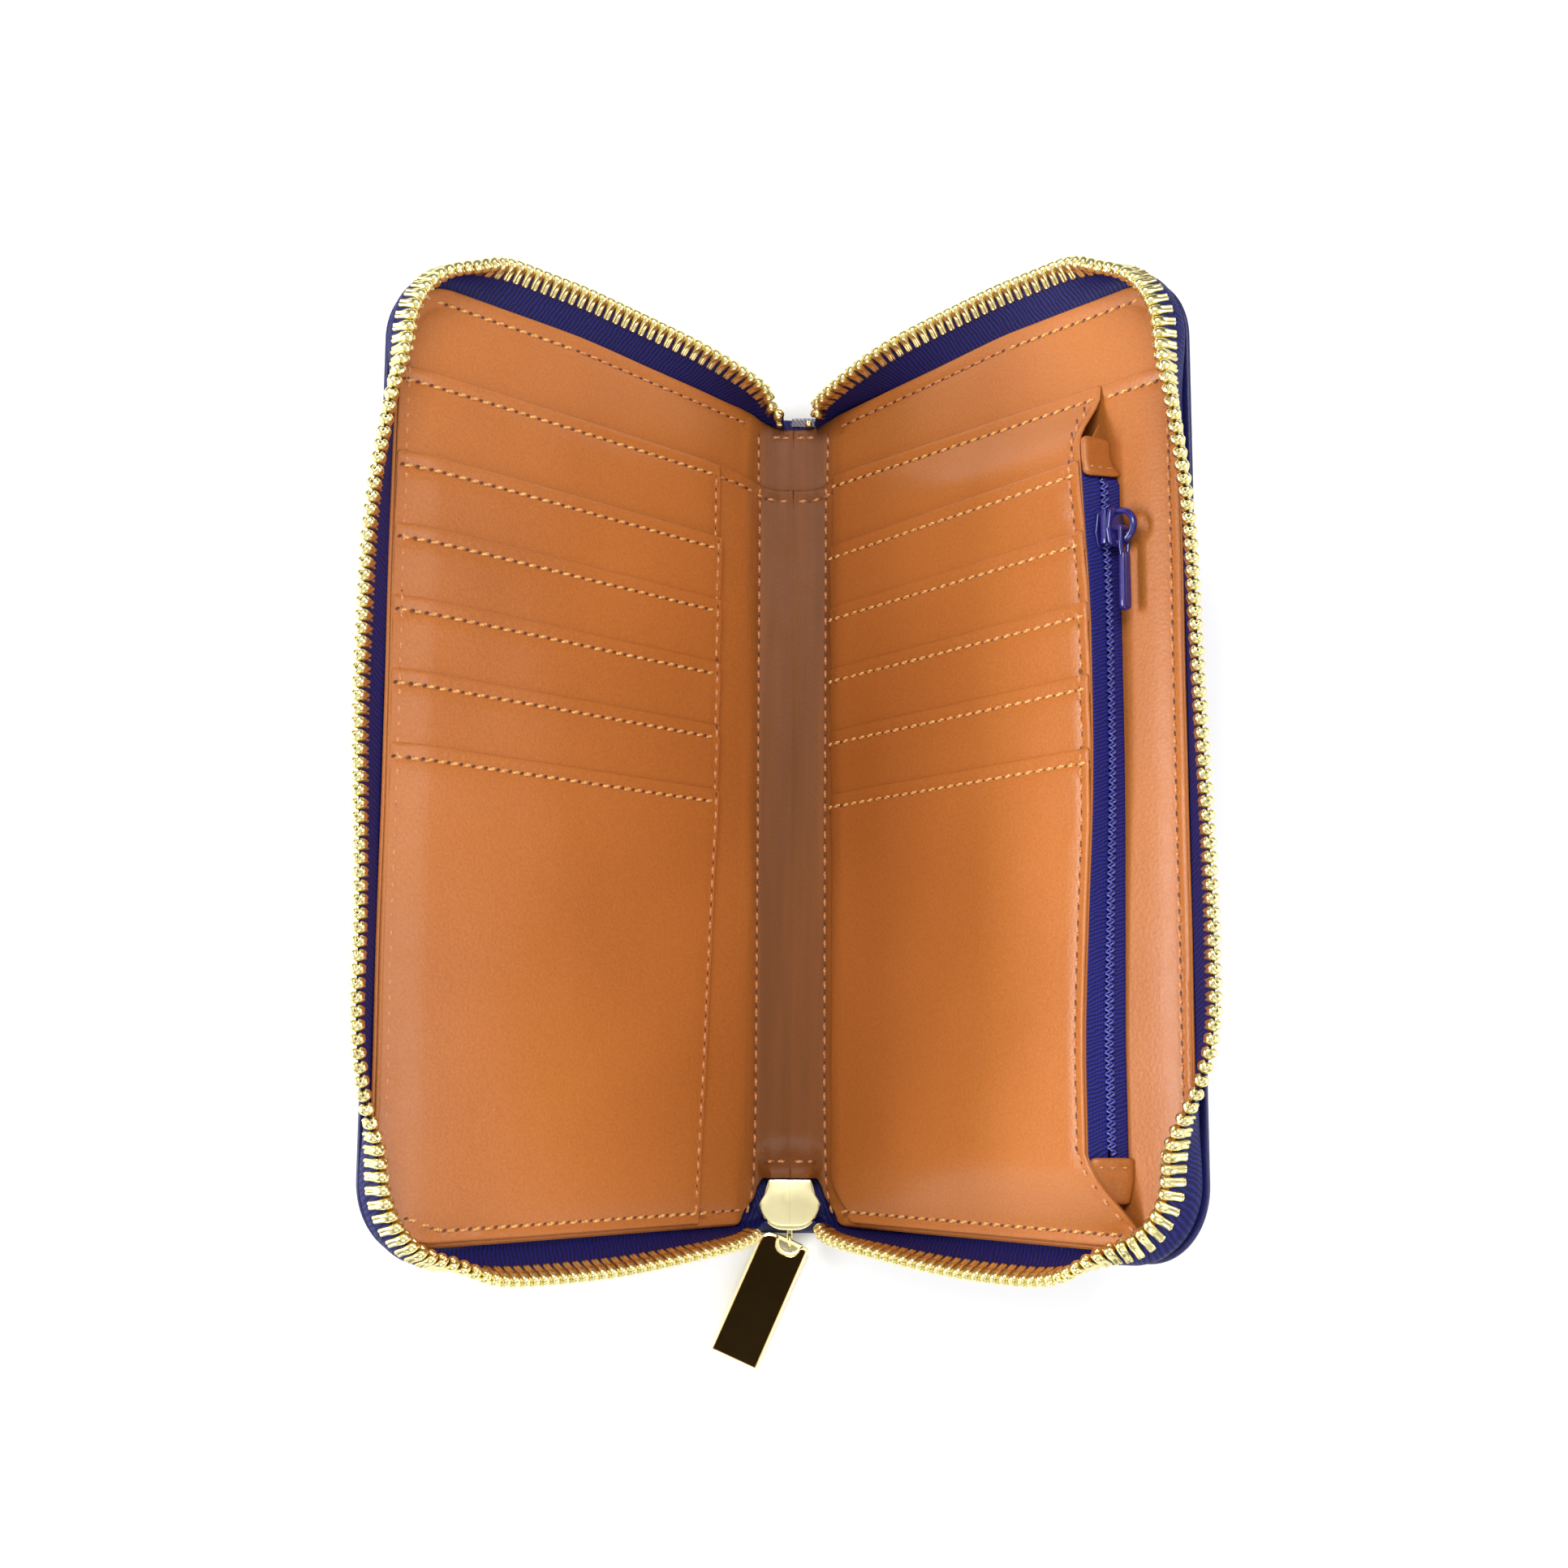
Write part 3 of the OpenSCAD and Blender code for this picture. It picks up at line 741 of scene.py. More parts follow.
def stack_outline(side, first, last, bottom, top):
    """A pocket sheet; those that reach the bottom follow the cover's corner."""
    reaches = bottom < BOTTOM + 2
    if side > 0:
        flare = last - STACK_END[1] + 0.4 * (top < SLIP_TOP)
        rise = np.arange(bottom + 18 if reaches else bottom, top, 9)
        rim = [(pocket_edge(v) + flare, v, 0 if i else 0.8) for i, v in enumerate(rise)]
        rim += [(pocket_edge(top) + flare, top, 0.8), (first, top, 0.8)]
        if not reaches:
            return fillet_path([(first, bottom, 0.8)] + rim)
        # Clear of the slider, and spreading where the pocket's end gusset opens
        return fillet_path([(first, -88.5, 6), (9.6, -94.6, 4), (10.4, bottom, 2), (98.0, bottom, 2.5),
                            (95.0, bottom + 4, 8)] + rim)
    slant = STACK_SLANT * smooth((-bottom - 10) / 80)
    corners = [(first + slant, bottom, 0.8), (last, bottom, CORNER - 3 if reaches else 0.8),
               (last, top, 0.8), (first, top, 0.8)]
    if slant > 1:
        corners.append((first, max(-12, bottom + 40), 60))
    return fillet_path(corners)


def straight_row(*corners):
    """An open row through a few places, without rounding."""
    return fillet_path([(u, v, 0) for u, v in corners], closed=False)


def edge_row(start_u, v, end_u):
    """A row of stitches straight across."""
    return straight_row((start_u, v), ((start_u + end_u) / 2, v), (end_u, v))


def seam_rows(side):
    """Stitch rows through the lining: the loop round three sides and the line beside the fold."""
    mid = middle(side)
    loop = fillet_path([(4.2, -SEAM_V, 0), (SEAM_U, -SEAM_V, 12), (SEAM_U, SEAM_V, 12), (60, SEAM_V, 120),
                        (4.0, 91.8 - (side > 0) * 0.8, 0)], closed=False)
    beside = fillet_path([(3.4, -96.8, 0), (0.9, -90, 25), (0.3, -70, 60), (0.3, 70, 40), (0.6, 90.5, 0)],
                         closed=False)
    spine_top = straight_row((mid, 89.2), (mid + 6.0, 89.4))
    spine_low = straight_row((mid, -84.0), (mid + 7.0, -84.0))
    return loop, beside, spine_top, spine_low


def slip_row(side):
    """Stitches under the slip pocket's edge, from the spine to the outer stitch line."""
    mid = middle(side)
    return fillet_path([(mid, 73.2, 0), (mid + 5, 73.2, 20), (7, 76.1, 30),
                        (107 if side > 0 else 16, 76.1, 0)], closed=False)


def stack_rows(side):
    """Slot rows and the upright rows of the card pockets."""
    first, last = STACK_START[side], STACK_END[side]
    if side < 0:
        slots = [edge_row(first + 1.6, top - 3.0, 107.0) for top in SLOT_TOPS]
        panel = edge_row(first + 1.6, SLIP_TOP - 2.9, 107.0)
        upright = [fillet_path([(first + 1.7 + STACK_SLANT, BOTTOM + 1.5, 0), (first + 1.6, -12, 60),
                                (first + 1.6, SLIP_TOP - 2.5, 0)], closed=False)]
    else:
        slots = [edge_row(first - 1.6, top - 3.0, pocket_edge(top) + 0.1) for top in SLOT_TOPS]
        panel = edge_row(first - 1.6, SLIP_TOP - 2.9, pocket_edge(SLIP_TOP) - 0.6)
        rise = [(pocket_edge(v) - 2.4, v, 0) for v in np.arange(BOTTOM + 19, SLIP_TOP - 4, 9)]
        upright = [fillet_path([(95.4, BOTTOM + 2.6, 0), (91.6, BOTTOM + 6.5, 10)] + rise, closed=False)]
    return slots, panel, upright


def build_sheets():
    """Outer leather, lining, slip pocket, the pocket front and the card sheets of both covers."""
    for side in SIDES:
        name = NAME[side]
        loop, beside, spine_top, spine_low = seam_rows(side)
        slots, panel_row, upright = stack_rows(side)
        lifted = side > 0
        piece = sheet("outer_leather_" + name, side, outer_outline(side), flat_at(-LEATHER), LEATHER, NAVY,
                      [loop, beside], 4.0, 0.15, downward=True)
        over_fold(piece, side, "cover_exterior_" + name, "spine_exterior", slot="navy_leather")
        piece = sheet("lining_sheet_" + name, side, lining_outline(side), level(side, LINING_LOW), LINING, TAN,
                      [loop, beside, spine_top, spine_low])
        over_fold(piece, side, "lining_" + name, "spine_lining", slot="tan_leather")
        round_slip = fillet_path([(4.2, -SEAM_V, 0), (SEAM_U, -SEAM_V, 12), (SEAM_U, 75, 0)], closed=False)
        piece = sheet("slip_pocket_sheet_" + name, side, slip_outline(side), level(side, SLIP_LOW), LINING, TAN,
                      [slip_row(side), beside, spine_low, round_slip])
        over_fold(piece, side, "slip_pocket_" + name, "slip_pocket_spine", slot="tan_leather")
        first, last = STACK_START[side], STACK_END[side]
        piece = sheet("pocket_front_" + name, side, stack_outline(side, first, last, BOTTOM, SLIP_TOP),
                      level(side, PANEL_LOW, lifted), LINING, TAN, [panel_row, *upright])
        on_cover(piece, side, "zip_pocket_front" if lifted else "card_panel_left", slot="tan_leather")
        for k, top in enumerate(SLOT_TOPS):
            lowest = k == len(SLOT_TOPS) - 1
            bottom = BOTTOM + 0.3 if lowest else top - CARD_SHOWN
            outline = stack_outline(side, first + 0.12 * (k + 1), last - 0.1 * (k + 1), bottom, top)
            rows = [slots[k], *upright]
            if lowest:
                rows.append(straight_row((9 if lifted else 20, -SEAM_V), (92 if lifted else 104.1, -SEAM_V)))
            piece = sheet("card_slot_%s_%d" % (name, k + 1), side, outline, card_level(side, k, lifted), CARD,
                          TAN, rows)
            on_cover(piece, side, "card_pocket_%s_%d" % (name, k + 1), slot="tan_leather")


# ------------------------------------------------------------------ stitches

PITCH = 3.2
DASH = 2.1


def stitch_shape(length=DASH, width=0.36, twist=1.1):
    """One stitch: two plies twisted together, drawn down at both ends."""
    rings = []
    for t in np.linspace(-1, 1, 9):
        radius = width * math.sqrt(max(0.03, 1 - abs(t) ** 2.6))
        a = np.arange(8) * math.pi / 4
        ply = radius * (1 + 0.3 * np.cos(2 * (a - twist * t * math.pi)))
        rings.append(np.column_stack([np.full(8, t * length / 2), ply * np.cos(a),
                                      ply * np.sin(a) * 0.9 - 0.26 * t * t]))
    return loft(rings)


def hole_shape():
    """A needle hole, as a small dimple between two stitches, coloured in painted shade."""
    rings = []
    for t in (-1, -0.7, 0, 0.7, 1):
        radius = 0.3 * math.sqrt(max(0.04, 1 - t * t))
        a = np.arange(8) * math.pi / 4
        rings.append(np.column_stack([np.full(8, t * 0.55), radius * np.cos(a), radius * np.sin(a) * 0.45]))
    return loft(rings)


def mapped(side, template, spots, ahead, heights, skew=0.0):
    """A template laid along a row: x along it, y across it and z up."""
    shape, faces = template
    c, s = math.cos(math.radians(skew)), math.sin(math.radians(skew))
    tx = ahead[:, 0] * c - ahead[:, 1] * s
    ty = ahead[:, 0] * s + ahead[:, 1] * c
    u = spots[:, 0, None] + shape[None, :, 0] * tx[:, None] - shape[None, :, 1] * ty[:, None]
    v = spots[:, 1, None] + shape[None, :, 0] * ty[:, None] + shape[None, :, 1] * tx[:, None]
    h = heights[:, None] + shape[None, :, 2]
    points = place(side, u, v, h).reshape(-1, 3)
    count = len(shape)
    all_faces = [[i + k * count for i in f] for k in range(len(spots)) for f in faces]
    if side < 0:
        all_faces = [f[::-1] for f in all_faces]
    return points, all_faces


def stitches(side, rows, skew, under=False):
    """Stitch and hole meshes for rows of (path, height function, thickness)."""
    threads, holes = [], []
    for path, height, thick in rows:
        at, ahead = resample(path, PITCH, 0.6, 0.6)
        top = height(at[:, 0], at[:, 1]) + (0.05 if under else thick - 0.1)
        threads.append(mapped(side, stitch_shape(), at, ahead, top, skew))
        gaps = at + ahead * PITCH / 2
        holes.append(mapped(side, hole_shape(), gaps, ahead, top + (0.1 if under else -0.1), skew * 2.2))
    return joined(threads), joined(holes)


def sew(kind, side, rows, skew, material, hold):
    """The thread and needle holes of some rows; hold is on_cover or over_fold."""
    (points, faces), (hole_points, hole_faces) = stitches(side, rows, skew)
    hold(make(kind + "_stitches_" + NAME[side], points, faces, material), side, slot="tan_leather")
    hold(make(kind + "_stitch_holes_" + NAME[side], hole_points, hole_faces, HOLLOW_SHADE), side, slot="tan_leather")


def build_stitches():
    """Rows on the card sheets, upright rows, rows that cross the fold and the rows outside."""
    for side in SIDES:
        loop, beside, spine_top, spine_low = seam_rows(side)
        slots, panel_row, upright = stack_rows(side)
        lifted = side > 0
        lining = level(side, LINING_LOW)
        slip = level(side, SLIP_LOW)
        front = level(side, PANEL_LOW, lifted)
        cards = [card_level(side, k, lifted) for k in range(len(SLOT_TOPS))]

        def top_of_stack(u, v):
            """The uppermost sheet's underside along an upright row."""
            base = front(u, v)
            for card, top in zip(cards, SLOT_TOPS):
                base = np.where(v < top - 0.4, card(u, v) - (LINING - CARD), base)
            return base

        def upper(u, v):
            """The lining above the slip pocket's edge, the slip pocket below it."""
            return np.where(v > SLIP_TOP + 0.4 * (u > 5) - 3 * (u <= 5), lining(u, v), slip(u, v))

        def left_rim(u, v):
            """The lining above the pockets on the left cover, the pockets below."""
            return np.where(v > SLIP_TOP + 0.4, lining(u, v), top_of_stack(u, v))

        flat = [(row, card, CARD) for row, card in zip(slots, cards)]
        flat.append((panel_row, front, LINING))
        if lifted:
            flat.append((edge_row(88.4, SLIP_TOP - 2.9, 107.0), slip, LINING))
            flat.append((straight_row((6.5, -SEAM_V), (91, -SEAM_V)), cards[-1], CARD))
            flat.append((straight_row((99.5, -SEAM_V), (103.5, -93.5)), slip, LINING))
        else:
            flat.append((straight_row((16, -SEAM_V), (92, -SEAM_V), (101, -92)), cards[-1], CARD))
        flat.append((straight_row((60, SEAM_V), (103, SEAM_V)), lining, LINING))
        sew("slot", side, flat, 14 * side, SLOT_THREAD, on_cover)
        tall = [(row, top_of_stack, LINING) for row in upright]
        tall.append((straight_row((SEAM_U, -84), (SEAM_U, 90)), upper if lifted else left_rim, LINING))
        sew("upright", side, tall, 3 * side, SHADED_THREAD, on_cover)
        crossing = slip_row(side)
        if lifted:
            crossing = crossing[crossing[:, 0] < 3.5]
        near = [(beside, upper, LINING), (spine_top, lining, LINING), (spine_low, slip, LINING),
                (crossing, slip, LINING),
                (straight_row((4.0, 91.8 - lifted * 0.8), (60, SEAM_V)), lining, LINING)]
        if not lifted:
            near.append((straight_row((4.2, -SEAM_V), (14.4, -SEAM_V)), slip, LINING))
        sew("fold", side, near, 4 * side, SHADED_THREAD, over_fold)
        below = flat_at(-LEATHER)
        (points, faces), _ = stitches(side, [(loop, below, 0), (beside, below, 0)], 6 * side, under=True)
        piece = make("outside_stitches_" + NAME[side], points, faces, NAVY_THREAD)
        over_fold(piece, side, slot="navy_leather")


# ------------------------------------------------------------------ main zip

TAPE_THICK = 0.6
TAPE_REACH = 9.7
CORNER_CURL = 46
TOOTH_PITCH = 2.66
COIL_PITCH = 1.42


def zip_foot(side):
    """The seam that the tape stands out of: along the lining's edge and down to the spine at both ends."""
    mid = middle(side)
    top_end = 2.4 if side < 0 else 6.2
    return fillet_path([(mid + top_end, 91.2, 0), (2.5, 94.6, 10), (60, 98.4, 120),
                        (107.6, 98.4, CORNER - 1.5), (107.6, -98.6, CORNER - 1.5), (9, -98.6, 12),
                        (1, -97.4, 6), (mid + 5.6, -96.0, 0)], closed=False, step=1.3)


# How far the tape leans out, in degrees: at the spine, along the top, in the top corner, along the
# side's upper, middle and lower part, in the low corner, along the bottom and beside the slider
LEAN = {-1: (4, 58, 18, 57, 62, 50, 14, 39, 9), 1: (-12, 59, 8, 41, 48, 57, -27, 35, 5)}


def lean_along(side, run, u, v):
    """The tape's lean along the seam, easing from place to place between the spine and the two corners."""
    spine, top, corner, upper, middle_part, lower, low_corner, bottom, slider = LEAN[side]
    high = run[np.argmin(np.hypot(u - COVER, v - HALF))]
    low = run[np.argmin(np.hypot(u - COVER, v + HALF))]
    stops = ((8, spine), (40, top), (high - 20, top), (high - 2, corner), (high + 8, corner),
             (high + 50, upper), ((high + low) / 2 - 8, middle_part), (low - 65, lower), (low - 36, lower),
             (low - 8, low_corner), (low + 4, low_corner), (low + 28, bottom), (low + 55, bottom),
             (run[-1] - 12, slider))
    places, leans = zip(*stops)
    return sum(np.interp(run + d, places, leans) for d in (-9, -6, -3, 0, 3, 6, 9)) / 7


def zip_stations(side):
    """Along the seam: foot (u, v), outward direction, lean and curl in degrees, and reach."""
    foot = zip_foot(side)
    u, v = foot[:, 0], foot[:, 1]
    ahead = unit(np.gradient(foot, axis=0))
    angle = np.degrees(np.arctan2(ahead[:, 0], -ahead[:, 1]))
    angle = np.where((u < 75) & (v > 0), 90.0, angle)
    angle = np.where((u < 75) & (v < 0), -90.0, angle)
    out = np.stack([np.cos(np.radians(angle)), np.sin(np.radians(angle))], 1)
    lean = lean_along(side, run_along(foot), u, v)
    # In the corners the tape is gathered, stands up and curls back in
    corner = np.minimum(np.hypot(u - 104, v - 94), np.hypot(u - 104, v + 94))
    gathered = 1 - smooth((corner - 8) / 18)
    curl = CORNER_CURL * gathered
    reach = TAPE_REACH - 0.5 * gathered
    reach = reach - 3.0 * (v > 0) * (1 - smooth((u - middle(side) - 3) / 17))
    reach = reach - 5.0 * (v < 0) * (1 - smooth((u - middle(side) - 5) / 27)) ** 2
    return foot, out, lean, reach, curl


def zip_sections(side):
    """The tape's inner and outer face as (station, step, xyz), and each step's distance from the seam."""
    foot, out, lean, reach, curl = zip_stations(side)
    widths = np.concatenate([[-2.5, -1.2, 0.0], np.array([0.5, 1.0, 1.6, 2.6, 4.0, 6.0, 8.0, 9.6]) / 9.6])
    inner, outer, run = [], [], []
    for (u, v), (du, dv), a, r, c in zip(foot, out, lean, reach, curl):
        steps = np.concatenate([widths[:3], widths[3:] * r])
        place_out, place_up = 0.0, 0.0
        line = []
        previous = steps[2]
        for w in steps:
            if w <= 0:
                line.append((w, 0.0, 90.0))
                continue
            bow = 5 * math.sin(math.pi * w / r) + c * math.cos(math.pi * w / r)
            bend = a + (90 - a) * math.exp(-w / 0.9) + bow
            place_out += (w - previous) * math.sin(math.radians(bend))
            place_up += (w - previous) * math.cos(math.radians(bend))
            previous = w
            line.append((place_out, place_up, bend))
        line = np.array(line)
        sine, cosine = np.sin(np.radians(line[:, 2])), np.cos(np.radians(line[:, 2]))
        for store, shift in ((inner, TAPE_THICK), (outer, 0.0)):
            o = line[:, 0] - cosine * shift
            up = 0.1 + line[:, 1] + sine * shift
            store.append(place(side, u + o * du, v + o * dv, up))
        run.append(steps)
    return np.array(inner), np.array(outer), np.array(run)


def build_tape(side):
    """The woven tape; returns its two faces, which the teeth clamp."""
    inner, outer, run = zip_sections(side)
    size = inner.shape[1]
    rings = np.concatenate([inner, outer[:, ::-1]], 1)
    points, faces = loft(rings)
    if side > 0:
        faces = [f[::-1] for f in faces]
    along = np.repeat(run_along(inner[:, -1])[:, None], size, 1)
    uv = np.concatenate([np.stack([along, run], -1), np.stack([along, run[:, ::-1]], -1)], 1).reshape(-1, 2)
    uv = np.vstack([uv, uv[0], uv[-1]])
    piece = make("zip_tape_cloth_" + NAME[side], points, faces, TAPE, uv=uv, sharp=60)
    over_fold(piece, side, "zip_tape_" + NAME[side], slot="navy_tape")
    return inner, outer


def tooth_shape():
    """One tooth: two fingers clamped on each face of the tape, and a bowed head with a blunt nose."""
    rings = []
    stations = ((-3.1, 0.5, 0.4, 0.0), (-2.95, 0.84, 0.6, 0.0), (-2.5, 0.9, 0.68, 0.0), (-1.5, 0.9, 0.74, 0.0),
                (-0.9, 0.96, 0.86, 0.1), (-0.3, 1.06, 1.0, 0.6), (0.4, 1.12, 1.06, 1.0), (1.1, 1.1, 1.0, 1.0),
                (1.6, 0.96, 0.84, 1.0), (1.85, 0.66, 0.6, 1.0), (1.92, 0.3, 0.3, 1.0))
    for y, w, thick, head in stations:
        t = 1.4 * thick
        finger = ((-1, 0.5), (-0.7, 0.95), (-0.3, 0.8), (0, 0.15), (0.3, 0.8), (0.7, 0.95), (1, 0.5))
        dome = ((-1, 0.5), (-0.78, 0.84), (-0.4, 1.0), (0, 1.04), (0.4, 1.0), (0.78, 0.84), (1, 0.5))
        upper = [(w * x, t * (z + (d - z) * head)) for (x, z), (_, d) in zip(finger, dome)]
        bow = 0.22 * head
        side = [(w + bow, 0.2 * t), (w + bow, -0.2 * t)]
        lower = [(x, -z) for x, z in upper[::-1]]
        back = [(-w + bow * 1.7, -0.2 * t), (-w + bow * 1.7, 0.2 * t)]
        rings.append([(x, y, z) for x, z in upper + side + lower + back])
    return loft(rings)


def build_teeth(side, inner, outer):
    """A row of teeth on the tape's free edge, offset by half a pitch between the two sides."""
    tip = (inner[:, -1] + outer[:, -1]) / 2
    stand = tip - (inner[:, -2] + outer[:, -2]) / 2
    run = run_along(tip)
    count = int((run[-1] - 2.8) / TOOTH_PITCH)
    s = 0.6 + (np.arange(count) + (0.25 if side < 0 else 0.75)) * TOOTH_PITCH
    at = at_run(s, run, tip)
    up = unit(at_run(s, run, stand))
    ahead = at_run(s + 0.8, run, tip) - at_run(s - 0.8, run, tip)
    ahead = unit(ahead - up * (ahead * up).sum(1)[:, None])
    shape, shape_faces = tooth_shape()
    points, faces = copies(shape, shape_faces, (at, ahead, up, np.cross(ahead, up)))
    piece = make("zip_teeth_row_" + NAME[side], points, faces, GOLD)
    over_fold(piece, side, "zip_teeth_" + NAME[side], slot="gold_teeth")


def boxes(*corners):
    """Round-edged blocks in the row frame, from (x0, y0, z0, x1, y1, z1, bevel)."""
    parts = []
    for x0, y0, z0, x1, y1, z1, bevel in corners:
        outline = fillet_path([(x0, y0, bevel), (x1, y0, bevel), (x1, y1, bevel), (x0, y1, bevel)])
        parts.append(slab(outline, z0, z1, bevel * 0.8))
    return joined(parts)


def build_zip_ends():
    """End tapes on the spine, the stops and the pale scrap of tape between the rows."""
    def tape_end(name, corners, height, thick, material, spacing, surface, *nodes):
        piece = sheet(name, 1, fillet_path(corners), flat_at(height), thick, material, spacing=spacing,
                      surface=surface)
        on_body(piece, "spine", *nodes, slot="navy_tape")

    def clip(name, node, *corners):
        solid(name, boxes(*corners), GOLD, "spine", node, slot="gold_teeth", sharp=50)

    tape_end("zip_end_strip_top", [(-5, 90.2, 0.5), (5, 90.2, 0.5), (5, 93.6, 0.6), (-5, 93.6, 0.6)], 0.2,
             TAPE_THICK, TAPE, 1.2, lambda x, y, h: np.stack([x, y, LEATHER + 0.3 + h], -1),
             "zip_end_tape_top")
    # The flap stands up between the rows
    tape_end("zip_end_flap", [(-0.6, 91, 0.3), (6.4, 91, 0.3), (6.2, 94.2, 0.6), (-0.4, 94.2, 0.6)], 0.0,
             0.45, FLAP, 1.0,
             lambda x, y, h: np.stack([x, 92.3 + h + 0.3 * (y - 92), LEATHER + 1.2 + (y - 91) * 0.95], -1))
    low_corners = [(-9.5, -97.5, 1), (9.5, -97.5, 1), (8.2, -86.4, 0.6), (-8.2, -86.4, 0.6)]
    tape_end("zip_end_strip_bottom", low_corners, 0.65, TAPE_THICK, TAPE, 1.6,
             lambda x, y, h: np.stack([x, y, LEATHER + h], -1), "zip_end_tape_bottom")
    clip("zip_top_clips", "zip_top_stops", (-4.2, 91.6, 2.3, -2.6, 93.6, 5.0, 0.4),
         (3.0, 91.6, 2.3, 4.4, 93.6, 5.0, 0.4))
    clip("zip_bottom_clip", "zip_bottom_stop", (-2.6, -94, 2.46, 2.6, -91.4, 3.14, 0.25))


def shield(shift=0.0, grow=0.0):
    """The slider plate's outline: narrow shoulders, wide belly and a round front."""
    w, n = 6.9 + grow, 4.9 + grow
    return fillet_path([(n, -88.0, 0.6), (-n, -88.0, 0.6), (-n - 0.35, -90.6, 5), (-w, -93.2 + shift, 2.2),
                        (-w, -98.5 + shift, 5.2), (w, -98.5 + shift, 5.2), (w, -93.2 + shift, 2.2),
                        (n + 0.35, -90.6, 5)], step=1.0)


def build_main_slider():
    """Two shields joined by a wedge and two rails, the pull's eye in front and a line down the middle."""
    wedge = [(-1.9, -97.4, 0.5), (1.9, -97.4, 0.5), (0.25, -92.8, 0.2), (-0.25, -92.8, 0.2)]
    parts = [slab(shield(), 5.85, 7.0, 0.28, crown=0.1), slab(shield(shift=-1.1, grow=-0.3), 3.25, 4.3, 0.28),
             slab(fillet_path(wedge, step=1), 4.2, 5.95, 0.1)]
    for s in SIDES:
        rail = [(s * 6.3, -93.1, 0.25), (s * 5.0, -88.5, 0.25), (s * 4.2, -88.5, 0.25), (s * 5.45, -93.1, 0.25)]
        parts.append(slab(fillet_path(rail if s > 0 else rail[::-1], step=1), 4.2, 5.95, 0.12))
    plate_faces = sum(len(faces) for _, faces in parts)
    a = np.linspace(0, 2 * math.pi, 33)[:-1]
    ring = np.column_stack([np.zeros(32), PIVOT_Y + 1.55 * np.cos(a), PIVOT_Z + 1.55 * np.sin(a)])
    neck = [(-0.65, -101.6, 0.25), (0.65, -101.6, 0.25), (0.65, -97, 0.25), (-0.65, -97, 0.25)]
    parts += [tube(np.vstack([ring, ring[:2]]), 0.42, 10), slab(fillet_path(neck, step=1), 2.35, 3.5, 0.2)]
    body = joined(parts)
    solid("main_slider_body", body, [PLATE, GOLD], "main_slider", "main_slider", slot="gold_plate", sharp=40,
          face_materials=[int(i >= plate_faces) for i in range(len(body[1]))])
    # The line down the middle is a row of dark dots, painted shade standing for a fine groove
    dots = [tube([(0, y - 0.1, 7.02), (0, y, 7.04), (0, y + 0.1, 7.02)], [0.03, 0.07, 0.03], 6, 0.6)
            for y in np.arange(-89.6, -97.8, -0.42)]
    solid("main_slider_centre_line", joined(dots), HOLLOW_SHADE, "main_slider", slot="gold_plate")


def build_main_pull():
    """A flat bar with an open slot over its pin, and a mirror face; it hangs a little to the left."""
    left, right, top, end = -6.7, 4.9, 0.3, -29.1
    outline = [(left, end, 0.5), (right, end, 0.5), (right, top, 0.7), (2.4, top, 0.3), (2.4, -2.3, 2.3),
               (-2.4, -2.3, 2.3), (-2.4, top, 0.3), (left, top, 2.6)]
    bar = slab(fillet_path(outline, step=1.5), 1.3, 2.9, 0.5)
    pin = tube([(x, 0, PIVOT_Z) for x in (-3.0, -1.2, 1.2, 3.0)], 0.62, 12)
    face = [(left + 0.4, end + 0.1, 0.2), (right - 0.45, end + 0.1, 0.2), (right - 0.5, -0.3, 0.5),
            (2.9, -0.3, 0.4), (2.6, -3.2, 2.0), (-2.6, -3.2, 2.0), (-2.9, -0.3, 0.4), (left + 0.45, -0.3, 2.2)]
    turn = math.radians(-PULL_ANGLE)
    spin = np.array([[math.cos(turn), -math.sin(turn)], [math.sin(turn), math.cos(turn)]])

    def turned(shape):
        points = np.array(shape[0], float)
        points[:, :2] = points[:, :2] @ spin.T
        points[:, 1] += PIVOT_Y
        return points, shape[1]
    solid("main_pull_bar", turned(joined([bar, pin])), PLATE, "main_pull", "main_pull", slot="gold_plate",
          sharp=35)
    solid("main_pull_face", turned(slab(fillet_path(face, step=1.5), 2.7, 3.05, 0.12)), MIRROR, "main_pull",
          slot="gold_plate", sharp=35)


# ------------------------------------------------------------------ pocket zip

def wall(v, b, out):
    """The pocket's side wall: v along the spine, b up the wall and out from it."""
    v, b, out = np.broadcast_arrays(*(np.asarray(c, float) for c in (v, b, out)))
    stands = pocket_ends(v)
    foot = CHAIN_U + 0.7 - 3.8 * smooth((v - 56) / 7) - 1.0 * smooth((8 - v) / 70)
    top = pocket_edge(v) - 0.5
    u = foot + (top - foot) * b / WALL * stands + out * stands
    h = WALL_LOW + b * stands + out * (1 - stands) + swell(1, np.full(v.shape, CHAIN_U), v)
    return place(1, u, v, h)


def wall_piece(name, span, rise, out, thick, material, slot, node, radius=0.4, rows=(), puff=0.05):
    """A sheet on the pocket's side wall, over a span of v and a rise up the wall."""
    (v0, v1), (b0, b1) = span, rise
    outline = fillet_path([(v0, b0, radius), (v1, b0, radius), (v1, b1, radius), (v0, b1, radius)], step=2.0)
    piece = sheet(name, 1, outline, flat_at(out), thick, material, rows, 1.6, puff, surface=wall)
    on_cover(piece, 1, node, slot=slot)


